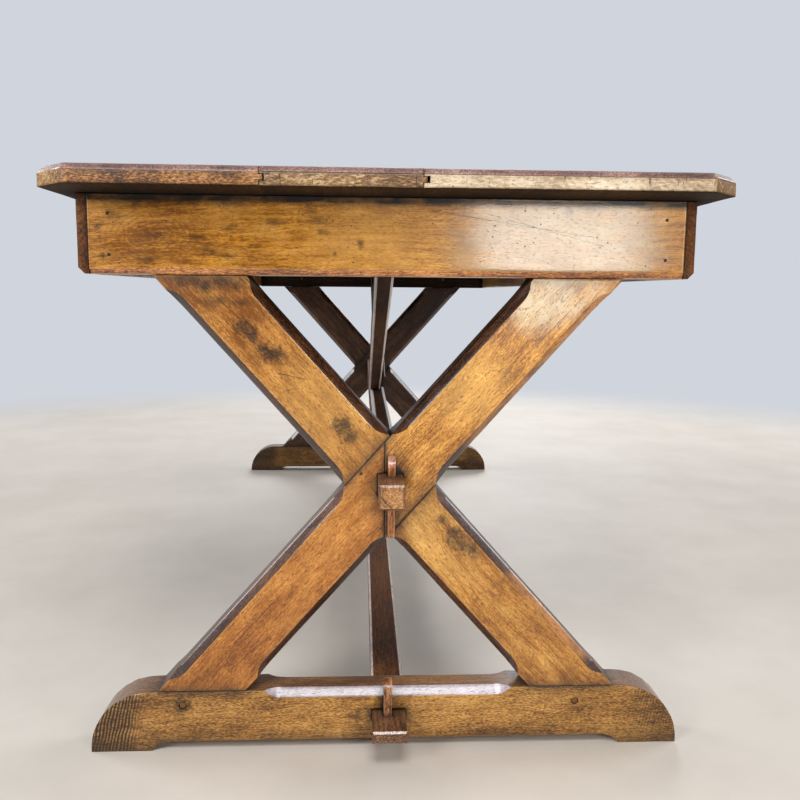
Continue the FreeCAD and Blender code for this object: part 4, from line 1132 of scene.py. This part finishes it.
    def outer_planes(self, made: bmesh.types.BMesh) -> list[tuple[Vector, Vector]]:
        """Find the planes of the solid's larger flat faces, and mark the faces whose arrises may wear.

        Args:
            made: The merged solid.

        Returns:
            A point and the outward normal of each plane.
        """
        free = made.faces.layers.bool.new(FREE)
        planes: dict[tuple[int, ...], list[bmesh.types.BMFace]] = {}
        for face in made.faces:
            reach = face.normal.dot(face.verts[0].co)
            key = tuple(round(part * 100) for part in face.normal) + (round(reach * 5000),)
            planes.setdefault(key, []).append(face)
        found = []
        for faces in planes.values():
            area_mm2 = sum(face.calc_area() for face in faces) / (MM * MM)
            for face in faces:
                face[free] = area_mm2 > self.least_worn_mm2
            if area_mm2 > self.least_plane_mm2:
                found.append((faces[0].verts[0].co.copy(), faces[0].normal.copy()))
        return found

    def mark_places(self, made: bmesh.types.BMesh, turn: Matrix, planes: list[tuple[Vector, Vector]]) -> None:
        """Store the place in the timber, the edge tone, what may be hollowed and each face's kind.

        Args:
            made: The sliced mesh in the timber's own axes.
            turn: The turn to the frame.
            planes: The planes of the solid's larger faces.
        """
        place = made.verts.layers.float_vector.new(PLACE)
        edge_tone = made.verts.layers.float.new(EDGE)
        loose = made.verts.layers.float.new(LOOSE)
        kinds = {surface: made.faces.layers.bool.new(surface.value) for surface in Surface}
        shift = Vector((self.seed * 1.7, self.pith_mm[0] * MM, self.pith_mm[1] * MM))
        for face in made.faces:
            face.smooth = True
            face[kinds[self.surface_of(face.normal, face.calc_center_median())]] = True
        hull = [(point, normal) for point, normal in planes
                if all((vertex.co - point).dot(normal) < ON_FLOOR for vertex in made.verts)]
        for vertex in made.verts:
            vertex[place] = vertex.co + shift
            vertex[loose] = 0.0 if (turn @ vertex.co).z < ON_FLOOR else 1.0
            depths = sorted(max(0.0, (point - vertex.co).dot(normal)) for point, normal in hull)
            vertex[edge_tone] = math.exp(-depths[1] / (self.edge_mm * MM)) if len(depths) > 1 else 0.0

    def mark_wear(self, made: bmesh.types.BMesh, turn: Matrix, others: list[BVHTree]) -> None:
        """Store how much each point loses: most at a sharp free arris, nothing where a neighbour guards it.

        Args:
            made: The sliced mesh in the timber's own axes.
            turn: The turn to the frame.
            others: The surfaces near it.
        """
        wear = made.verts.layers.float.new(WEAR)
        free = made.faces.layers.bool[FREE]
        arrises = set()
        for edge in made.edges:
            angle = edge.calc_face_angle_signed(0.0)
            if abs(angle) < CREASE:
                continue
            if angle < 0.0 or any(not face[free] or self.reach_from(edge, face) > LEAST_LAND
                                  for face in edge.link_faces):
                edge.smooth = False
                continue
            for vertex in edge.verts:
                vertex[wear] = max(vertex[wear], min(1.0, angle / SHARP))
                arrises.add(vertex)
        for vertex in arrises:
            point = turn @ vertex.co
            if any(surface.find_nearest(point, GUARDED)[3] is not None for surface in others):
                vertex[wear] = 0.0
            if point.z < ON_FLOOR:
                vertex[wear] *= 0.3
        for vertex in made.verts:
            if vertex not in arrises:
                reach = [(edge.calc_length(), edge.other_vert(vertex)) for edge in vertex.link_edges]
                shares = [other[wear] * math.exp(-length / WEAR_REACH)
                          for length, other in reach if other in arrises]
                vertex[wear] = max(shares, default=0.0)

    def reach_from(self, edge: bmesh.types.BMEdge, face: bmesh.types.BMFace) -> float:
        """Measure how far a face reaches away from one of its edges.

        Args:
            edge: The edge.
            face: A face on that edge.

        Returns:
            The distance of the face's farthest corner from the edge's line.
        """
        start = edge.verts[0].co
        run = (edge.verts[1].co - start).normalized()
        return max(((vertex.co - start) - run * (vertex.co - start).dot(run)).length for vertex in face.verts)

    def mark_grime_and_shade(self, mesh: bpy.types.Mesh, others: list[BVHTree]) -> None:
        """Let dirt and painted shade gather where another piece meets this one.

        Args:
            mesh: The sliced mesh in the frame.
            others: The surfaces near it.
        """
        attribute = mesh.attributes.new(GRIME_AND_SHADE, "FLOAT", "POINT")
        falloff = self.grime_and_shade_mm * MM
        reach = GRIME_AND_SHADE_REACHES * falloff
        for index, vertex in enumerate(mesh.vertices):
            nearest = reach
            for surface in others:
                found = surface.find_nearest(vertex.co, nearest)
                if found[3] is not None:
                    nearest = min(nearest, found[3])
            attribute.data[index].value = math.exp(-nearest / falloff) if nearest < reach else 0.0


def node_surfaces() -> dict[str, BVHTree]:
    """Give a search tree of every board's and bar's surface.

    Returns:
        Each tree by its node's name.
    """
    surfaces = {}
    for name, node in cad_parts.items():
        if "pegs" not in name and "nails" not in name:
            points = [vertex.co.copy() for vertex in node.data.vertices]
            faces = [tuple(polygon.vertices) for polygon in node.data.polygons]
            surfaces[name] = BVHTree.FromPolygons(points, faces)
    return surfaces


# ---------------------------------------------------------------- sub-assemblies

ACROSS_TABLE = Vector((1.0, 0.0, 0.0))
ALONG_TABLE = Vector((0.0, 1.0, 0.0))
UPRIGHT = Vector((0.0, 0.0, 1.0))
ENDS = ("front", "back")
# How far the dark edge reaches into a face that cloths keep clean.
NARROW_EDGE_MM = 3.5


@dataclass
class Workshop:
    """What every sub-assembly shares: the wear tree, the finishes and the neighbours' surfaces."""

    wear: WearTree
    finishes: dict[str, Material]
    near: dict[str, BVHTree]

    def fit(self, timber: Timber, along: str, end: str, chamfer: str = "", apart: str = "",
            corner: str = "") -> None:
        """Build one timber with its named finishes.

        Args:
            timber: The timber.
            along: The finish along the grain.
            end: The finish across the grain.
            chamfer: The finish of its chamfers, or nothing where it is as along the grain.
            apart: The finish of what its class sets apart, or nothing where it is as along the grain.
            corner: The finish of its clipped corners, or nothing where it has none.
        """
        names = (along, end, chamfer, apart, corner)
        finishes = {surface: self.finishes[name or along] for surface, name in zip(Surface, names)}
        timber.build(self.wear, finishes, self.near)


@dataclass
class TopBoard(Timber):
    """A board of the top: its arris faces up all round, and its underside is set apart."""

    # How much of a normal points up where a face is of the arris, and along where it is a corner or an end.
    arris_rise: tuple[float, float] = (0.3, 0.95)
    corner_lean: float = 0.25
    end_lean: float = 0.9

    def surface_of(self, normal: Vector, middle: Vector) -> Surface:
        """Say what kind of surface a face is, by its normal.

        Args:
            normal: The face's normal in the timber's own axes.
            middle: Its middle in the timber's own axes; not used here.

        Returns:
            Its kind.
        """
        if normal.z < -SQUARE:
            return Surface.APART
        if self.arris_rise[0] < normal.z < self.arris_rise[1]:
            return Surface.CHAMFER
        if abs(normal.x) > self.end_lean:
            return Surface.END
        return Surface.CORNER if abs(normal.x) > self.corner_lean else Surface.ALONG


@dataclass
class Tabletop:
    """Three boards along the table with worn arrises and pale, checked end grain, palest on the right board as
    a painted highlight.
    """

    boards: tuple[tuple[str, str], ...] = (
        ("left", "top_end_brown"), ("middle", "top_end_mid"), ("right", "top_end_pale"),
    )

    def build(self, shop: Workshop) -> None:
        """Make the three boards.

        Args:
            shop: What the sub-assemblies share.
        """
        for number, (board, end_finish) in enumerate(self.boards):
            timber = TopBoard(f"top_board_{board}", "top_wood", ALONG_TABLE, 3.1 + number, arris_mm=2.4,
                              hollow_mm=1.0, spacing_mm=20.0, across_mm=26.0,
                              pith_mm=(130.0 - 90.0 * number, -260.0), edge_mm=NARROW_EDGE_MM,
                              grime_and_shade_mm=26.0, kin=("top_board",))
            shop.fit(timber, "top", end_finish, "top_arris", "top_under", "top_corner")


@dataclass
class ApronBox:
    """The four apron boards, the trestle rails behind them, the batten and the glue blocks."""

    arris_mm: float = 1.0
    inner_arris_mm: float = 0.8
    grime_and_shade_mm: float = 9.0

    def build(self, shop: Workshop) -> None:
        """Make the boards and blocks.

        Args:
            shop: What the sub-assemblies share.
        """
        for number, side in enumerate(("left", "right")):
            board = Timber(f"side_apron_{side}", "apron_wood", ALONG_TABLE, 11.0 + number, self.arris_mm,
                           grime_and_shade_mm=self.grime_and_shade_mm, edge_mm=NARROW_EDGE_MM)
            shop.fit(board, "apron", "apron_end", "apron_chamfer")
            blocks = Timber(f"glue_blocks_{side}", "inner_wood", ALONG_TABLE, 13.0 + number,
                            self.inner_arris_mm)
            shop.fit(blocks, "inner", "inner")
        for number, end in enumerate(ENDS):
            board = Timber(f"end_apron_{end}", "apron_wood", ACROSS_TABLE, 21.0 + number, self.arris_mm,
                           across_mm=9.0, grime_and_shade_mm=self.grime_and_shade_mm, edge_mm=NARROW_EDGE_MM,
                           kin=("side_apron", "leg", "trestle", "glue"))
            shop.fit(board, "marked_apron" if end == "front" else "apron", "apron_end", "apron_chamfer")
            rail = Timber(f"trestle_rail_{end}", "inner_wood", ACROSS_TABLE, 23.0 + number,
                          self.inner_arris_mm)
            shop.fit(rail, "inner", "dark_end")
        batten = Timber("top_batten", "inner_wood", ACROSS_TABLE, 25.0, self.inner_arris_mm)
        shop.fit(batten, "inner", "dark_end")


@dataclass
class Leg(Timber):
    """A timber of the X. What is set apart is its narrow sides and its inner face, which take a darker finish
    as painted shade.
    """

    def surface_of(self, normal: Vector, middle: Vector) -> Surface:
        """Say what kind of surface a face is, by its normal and by the end of the table that it is at.

        Args:
            normal: The face's normal in the timber's own axes.
            middle: Its middle in the timber's own axes.

        Returns:
            Its kind.
        """
        if abs(normal.z) > SQUARE or normal.y * math.copysign(1.0, middle.y) < -SQUARE:
            return Surface.APART
        return super().surface_of(normal, middle)


@dataclass
class SledgeFoot(Timber):
    """The bar that the legs stand on. What is set apart is its upper face, where dust and wax lie."""

    def surface_of(self, normal: Vector, middle: Vector) -> Surface:
        """Say what kind of surface a face is, by its normal."""
        return Surface.APART if normal.z > SQUARE else super().surface_of(normal, middle)


@dataclass
class Trestle:
    """One X of lapped legs on a sledge foot."""

    end: str
    slope_deg: float = 48.3
    arris_mm: float = 1.2

    def build(self, shop: Workshop) -> None:
        """Make the foot and the three leg timbers.

        Args:
            shop: What the sub-assemblies share.
        """
        near_end = self.end == "front"
        across = math.cos(math.radians(self.slope_deg)) * (1.0 if near_end else -1.0)
        up = math.sin(math.radians(self.slope_deg))
        rising = Vector((across, 0.0, up))
        falling = Vector((-across, 0.0, up))
        first = 31.0 if near_end else 41.0
        legs = (
            ("leg_through", falling, "leg"), ("leg_upper", rising, "leg"), ("leg_lower", rising, "red_leg"),
        )
        for number, (kind, along, wood) in enumerate(legs):
            timber = Leg(f"{kind}_{self.end}", f"{wood}_wood", along, first + number, self.arris_mm,
                         edge_mm=NARROW_EDGE_MM)
            shop.fit(timber, f"{wood}_{self.end}", "dark_end", "chamfer", "leg_side")
        foot = SledgeFoot(f"foot_{self.end}", "foot_wood", ACROSS_TABLE, first + 4, self.arris_mm,
                          edge_mm=NARROW_EDGE_MM)
        shop.fit(foot, f"foot_{self.end}", "dark_end", "foot_chamfer", "foot_top")


@dataclass
class TenonedBar(Timber):
    """A stretcher. What is set apart is the tenon that stands out beyond the legs."""

    # How far out the shoulder lies, and how much of an end bevel's normal points up for it to take the pale
    # painted highlight; lower end bevels take the tenon's finish.
    shoulder: float = 0.9
    highlit_bevel_rise: float = 0.3

    def surface_of(self, normal: Vector, middle: Vector) -> Surface:
        """Say what kind of surface a face is, by its normal and how far out it lies.

        Args:
            normal: The face's normal in the timber's own axes.
            middle: Its middle in the timber's own axes.

        Returns:
            Its kind.
        """
        if abs(normal.x) > SQUARE:
            return Surface.END
        if abs(normal.x) > SLOPING:
            return Surface.CHAMFER if normal.z > self.highlit_bevel_rise else Surface.APART
        if min(abs(normal.y), abs(normal.z)) > SLOPING:
            return Surface.CHAMFER
        return Surface.APART if abs(middle.x) > self.shoulder else Surface.ALONG


@dataclass
class Stretchers:
    """The two bars that tie the trestles, and the struts that brace them."""

    arris_mm: float = 0.9

    def build(self, shop: Workshop) -> None:
        """Make the bars and struts.

        Args:
            shop: What the sub-assemblies share.
        """
        for number, kind in enumerate(("mid", "low")):
            bar = TenonedBar(f"{kind}_stretcher", "stretcher_wood", ALONG_TABLE, 51.0 + number, self.arris_mm,
                             edge_mm=NARROW_EDGE_MM)
            shop.fit(bar, "stretcher", f"{kind}_tenon_end", "bright_chamfer", "tenon_side")
        for number, end in enumerate(ENDS):
            low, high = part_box(f"strut_{end}")
            rise = (high.z - low.z) / (high.y - low.y)
            along = Vector((0.0, 1.0, rise if end == "back" else -rise))
            strut = Timber(f"strut_{end}", "stretcher_wood", along, 53.0 + number, self.arris_mm)
            shop.fit(strut, "stretcher", "dark_end", "bright_chamfer")


@dataclass
class Key(Timber):
    """A tapered key. What is set apart is its crown, which faces up and takes a pale painted highlight."""

    crown_lean: float = 0.25

    def surface_of(self, normal: Vector, middle: Vector) -> Surface:
        """Say what kind of surface a face is: all of it runs with the grain except the crown."""
        return Surface.APART if normal.x > self.crown_lean else Surface.ALONG


@dataclass
class Wedges:
    """The four loose keys that draw the tusk tenons up."""

    finishes: tuple[tuple[str, str, str], ...] = (
        ("mid", "wedge", "wedge_crown"), ("low", "low_wedge", "low_wedge"),
    )

    def build(self, shop: Workshop) -> None:
        """Make the keys, each on its own body.

        Args:
            shop: What the sub-assemblies share.
        """
        for kind, finish, crown in self.finishes:
            for number, end in enumerate(ENDS):
                name = f"{kind}_wedge_{end}"
                key = Key(name, "wedge_wood", UPRIGHT, 61.0 + number, arris_mm=0.9, hollow_mm=0.3, body=name,
                          spacing_mm=7.0, across_mm=7.0, support_mm=(0.9, 2.4), least_plane_mm2=120.0,
                          edge_mm=3.0, grime_and_shade_mm=4.0)
                shop.fit(key, finish, finish, apart=crown)


class FasteningTree(PieceTree):
    """Geometry Nodes that drive one peg or nail into each hole, from its visible end inwards."""

    def __init__(self) -> None:
        """Build the tree with the sizes of a peg or nail."""
        super().__init__("driven_fastenings", {
            "Heads": "Geometry", "Sides": "Int", "Radius": "Float", "Length": "Float", "Dome": "Float",
            "Seed": "Int", "Finish": "Material",
        })

    def wire(self, tree: Tree) -> None:
        """Add the tree's nodes and links.

        Args:
            tree: The tree.
        """
        given = add(tree, "NodeGroupInput").outputs
        half = add(tree, MATH, {0: given["Length"], 1: -0.5}, operation="MULTIPLY")
        below = add(tree, MATH, {0: half, 1: given["Dome"]}, operation="SUBTRACT")
        drop = add(tree, "ShaderNodeCombineXYZ", {"Z": below})
        shank = add(tree, "GeometryNodeMeshCylinder", {
            "Vertices": given["Sides"], "Radius": given["Radius"], "Depth": given["Length"],
        }).outputs
        dome = add(tree, "GeometryNodeExtrudeMesh", {
            "Mesh": shank["Mesh"], "Selection": shank["Top"], "Offset Scale": given["Dome"],
        }, mode="FACES").outputs
        crown = add(tree, "GeometryNodeScaleElements", {
            "Geometry": dome["Mesh"], "Selection": dome["Top"], "Scale": 0.72,
        }, domain="FACE")
        driven = add(tree, "GeometryNodeTransform", {"Geometry": crown, "Translation": drop})
        aim = add(tree, NAMED_ATTRIBUTE, {"Name": AIM}, data_type="FLOAT_VECTOR")
        turned = add(tree, "FunctionNodeAlignRotationToVector", {"Vector": aim}, axis="Z")
        size = add(tree, "FunctionNodeRandomValue", {2: 0.90, 3: 1.0, "Seed": given["Seed"]},
                   data_type="FLOAT")
        across = add(tree, "ShaderNodeCombineXYZ", {"X": size, "Y": size, "Z": 1.0})
        placed = add(tree, "GeometryNodeInstanceOnPoints", {
            "Points": given["Heads"], "Instance": driven, "Rotation": turned, "Scale": across,
        })
        real = add(tree, "GeometryNodeRealizeInstances", {"Geometry": placed})
        done = add(tree, "GeometryNodeSetMaterial", {"Geometry": real, "Material": given["Finish"]})
        add(tree, "NodeGroupOutput", {0: done})


@dataclass
class Driven:
    """One node's pegs or nails."""

    node: str
    slot: str
    sides: int
    radius_mm: float
    sunk_mm: float
    dome_mm: float
    seed: int

    def build(self, tree: FasteningTree, finish: Material) -> None:
        """Drive a fastening into each hole of the node.

        Args:
            tree: The tree that places them.
            finish: Their finish.
        """
        heads, length = self.heads()
        mesh = bpy.data.meshes.new(f"driven_{self.node}")
        mesh.from_pydata([head for head, _ in heads], [], [])
        aims = mesh.attributes.new(AIM, "FLOAT_VECTOR", "POINT")
        for index, (_, aim) in enumerate(heads):
            aims.data[index].vector = aim
        piece = new_object(f"driven_{self.node}", mesh)
        tree.apply(piece, {
            "Sides": self.sides, "Radius": self.radius_mm * MM, "Length": length - self.sunk_mm * MM,
            "Dome": self.dome_mm * MM, "Seed": self.seed, "Finish": finish,
        })
        stand_in(piece, self.node, "table")

    def heads(self) -> tuple[list[tuple[Vector, Vector]], float]:
        """Find each fastening's visible end and outward direction, and their common length.

        Returns:
            The ends with their directions, and the shortest length.
        """
        made = bmesh.new()
        made.from_mesh(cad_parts[self.node].data)
        bmesh.ops.remove_doubles(made, verts=made.verts, dist=SAME_POINT)
        left = set(made.verts)
        found = []
        lengths = []
        while left:
            island = {min(left, key=lambda vertex: vertex.index)}
            front = list(island)
            while front:
                joined = {vertex for edge in front.pop().link_edges for vertex in edge.verts} - island
                island |= joined
                front += joined
            left -= island
            low = Vector([min(vertex.co[axis] for vertex in island) for axis in range(3)])
            high = Vector([max(vertex.co[axis] for vertex in island) for axis in range(3)])
            size = high - low
            middle = (low + high) / 2
            axis = max(range(3), key=lambda number: size[number])
            sign = 1.0 if axis == 2 or middle[axis] > 0.0 else -1.0
            aim = Vector([sign if number == axis else 0.0 for number in range(3)])
            found.append((middle + aim * (size[axis] / 2 - self.sunk_mm * MM), aim))
            lengths.append(size[axis])
        made.free()
        return found, min(lengths)


class Fastenings:
    """Pegs with a shrunk ring of shadow round them, and square cut nails punched below the face."""

    def build(self, shop: Workshop) -> None:
        """Make the pegs and nails of each node.

        Args:
            shop: What the sub-assemblies share.
        """
        tree = FasteningTree()
        wood = shop.finishes["peg"]
        iron = shop.finishes["iron"]
        for number, end in enumerate(ENDS):
            Driven(f"foot_pegs_{end}", "peg_wood", 11, 4.4, 0.8, 0.5, 3 + number).build(tree, wood)
            Driven(f"rail_pegs_{end}", "peg_wood", 9, 3.8, 0.3, 0.4, 7 + number).build(tree, wood)
            Driven(f"lap_nails_{end}", "old_iron", 4, 2.1, 0.6, 0.3, 11 + number).build(tree, iron)
            Driven(f"apron_nails_{end}", "old_iron", 4, 2.1, 0.6, 0.3, 17 + number).build(tree, iron)
        Driven("strut_pegs", "peg_wood", 10, 4.7, 0.4, 0.5, 23).build(tree, wood)


# ---------------------------------------------------------------- room

@dataclass
class Studio:
    """Plain pale floor, soft light from large panels, and the camera."""

    air_colour: str = "#D0D5DD"
    camera_place: Triple = (-0.038, -1.934, 0.616)
    yaw: float = 0.0485
    pitch: float = 0.1312
    roll: float = 0.0084
    lens_mm: float = 36.28
    fade_from: float = 2.3
    fade_to: float = 3.6

    def build(self) -> None:
        """Make floor, world, lamps and camera."""
        self.floor()
        self.world()
        self.flag()
        self.lamp("ceiling_panel", (0.0, -2.3, 2.4), (0.0, -0.9, 0.3), (1.0, 0.8), 35.0)
        self.lamp("key_right", (0.52, -2.15, 0.78), (0.1, -0.9, 0.5), (0.46, 0.34), 7.4, "#FFF6EA")
        self.lamp("fill_left", (-1.3, -2.1, 1.2), (0.0, -0.9, 0.4), (0.7, 0.7), 18.5)
        self.lamp("window_back", (0.6, 4.0, 2.6), (0.0, 0.8, 0.4), (2.0, 2.0), 110.0)
        self.lamp("side_left", (-4.0, 0.95, 2.2), (0.0, 0.2, 0.4), (2.2, 2.2), 100.0)
        self.lamp("side_right", (4.0, 0.95, 2.2), (0.0, 0.2, 0.4), (2.2, 2.2), 100.0)
        self.camera()
        log.info("studio ready")

    def sheet(self, name: str, corners: list[Triple], material: Material) -> Piece:
        """Spread one flat sheet.

        Args:
            name: Its name.
            corners: Its four corners in order.
            material: Its finish.

        Returns:
            The sheet.
        """
        mesh = bpy.data.meshes.new(name)
        mesh.from_pydata(corners, [], [(0, 1, 2, 3)])
        mesh.materials.append(material)
        return new_object(name, mesh)

    def floor(self) -> None:
        """Lay a wide pale floor just under the feet, which fades into the air far from the table."""
        material = bpy.data.materials.new("polished_concrete_pale")
        tree = bare_tree(material)
        where = add(tree, "ShaderNodeTexCoord").outputs["Object"]
        clouds = add(tree, NOISE, {
            "Vector": where, "Scale": per_metre(260.0), "Detail": 6.0, "Roughness": 0.6,
        })
        ramp = add(tree, "ShaderNodeValToRGB", {"Fac": clouds})
        for stop, (position, shade) in zip(ramp.color_ramp.elements, ((0.3, "#C7C0B7"), (0.7, "#D4CDC5"))):
            stop.position = position
            stop.color = linear(shade)
        shader = add(tree, "ShaderNodeBsdfPrincipled", {"Base Color": ramp, "Roughness": 0.6})
        reach = add(tree, VECTOR_MATH, {0: where}, operation="LENGTH")
        far = add(tree, MAP_RANGE, {"Value": reach, "From Min": self.fade_from, "From Max": self.fade_to},
                  interpolation_type="SMOOTHSTEP")
        ray = add(tree, "ShaderNodeLightPath").outputs
        seen = add(tree, MATH, {0: ray["Is Camera Ray"], 1: ray["Is Glossy Ray"]}, operation="MAXIMUM")
        share = add(tree, MATH, {0: far, 1: seen}, operation="MULTIPLY")
        air = add(tree, "ShaderNodeEmission", {"Color": linear(self.air_colour), "Strength": 1.0})
        mix = add(tree, "ShaderNodeMixShader", {0: share, 1: shader, 2: air})
        add(tree, "ShaderNodeOutputMaterial", {"Surface": mix})
        half = 30.0
        under = -0.3 * MM
        corners = [(-half, -half, under), (half, -half, under), (half, half, under), (-half, half, under)]
        self.sheet("floor", corners, material)

    def flag(self) -> None:
        """Hang a black cloth behind the camera, seen only in the gloss, so that the wax doesn't grey over."""
        material = bpy.data.materials.new("black_cotton_velvet")
        tree = bare_tree(material)
        shader = add(tree, "ShaderNodeBsdfDiffuse", {"Color": linear("#0C0B0A"), "Roughness": 1.0})
        add(tree, "ShaderNodeOutputMaterial", {"Surface": shader})
        half = 5.0
        behind = -5.3
        corners = [(-half, behind, -0.2), (half, behind, -0.2), (half, behind, 4.5), (-half, behind, 4.5)]
        flag = self.sheet("flag", corners, material)
        flag.visible_camera = False
        flag.visible_diffuse = False
        flag.visible_shadow = False

    def world(self) -> None:
        """Fill the air with plain pale light, which shows paler than it shines."""
        world = bpy.data.worlds.new("pale_air")
        bpy.context.scene.world = world
        tree = bare_tree(world)
        ray = add(tree, "ShaderNodeLightPath").outputs
        seen = add(tree, MATH, {0: ray["Is Camera Ray"], 1: ray["Is Glossy Ray"]}, operation="MAXIMUM")
        seen = add(tree, MATH, {0: seen, 1: ray["Is Transmission Ray"]}, operation="MAXIMUM")
        soft = add(tree, "ShaderNodeBackground", {"Color": linear("#DDE2EA"), "Strength": 0.10})
        plain = add(tree, "ShaderNodeBackground", {"Color": linear(self.air_colour), "Strength": 1.0})
        mix = add(tree, "ShaderNodeMixShader", {0: seen, 1: soft, 2: plain})
        add(tree, "ShaderNodeOutputWorld", {"Surface": mix})

    def lamp(self, name: str, place: Triple, aim: Triple, size: tuple[float, float], watts: float,
             colour: str = "#FFFFFF") -> None:
        """Hang one soft panel.

        Args:
            name: The lamp's name.
            place: Where it hangs.
            aim: What it faces.
            size: Its width and height in metres.
            watts: Its power.
            colour: Its colour.
        """
        data = bpy.data.lights.new(name, "AREA")
        data.shape = "RECTANGLE"
        data.size, data.size_y = size
        data.energy = watts
        data.color = linear(colour)[:3]
        lamp = new_object(name, data)
        lamp.location = place
        lamp.rotation_euler = (Vector(aim) - Vector(place)).to_track_quat("-Z", "Y").to_euler()

    def camera(self) -> None:
        """Set the camera where the table is seen from its end, a little above the stretcher."""
        run = math.cos(self.pitch)
        forward = Vector((math.sin(self.yaw) * run, math.cos(self.yaw) * run, -math.sin(self.pitch)))
        level = forward.cross(UPRIGHT).normalized()
        above = level.cross(forward)
        right = level * math.cos(self.roll) + above * math.sin(self.roll)
        up = above * math.cos(self.roll) - level * math.sin(self.roll)
        data = bpy.data.cameras.new("camera")
        data.sensor_width = 36.0
        data.lens = self.lens_mm
        data.clip_start = 0.05
        data.clip_end = 100.0
        camera = new_object("camera", data)
        turn = Matrix((right, up, -forward)).transposed().to_4x4()
        camera.matrix_world = Matrix.Translation(Vector(self.camera_place)) @ turn
        bpy.context.scene.camera = camera


def main() -> None:
    """Build the table's pieces in order, then the room."""
    logging.basicConfig(level=logging.INFO, format="%(name)s: %(message)s")
    shop = Workshop(WearTree(), make_finishes(), node_surfaces())
    trestles = [Trestle(end) for end in ENDS]
    for assembly in (Tabletop(), ApronBox(), *trestles, Stretchers(), Wedges(), Fastenings()):
        assembly.build(shop)
    Studio().build()
    bpy.context.scene.view_settings.view_transform = "Standard"


if __name__ == "__main__":
    main()
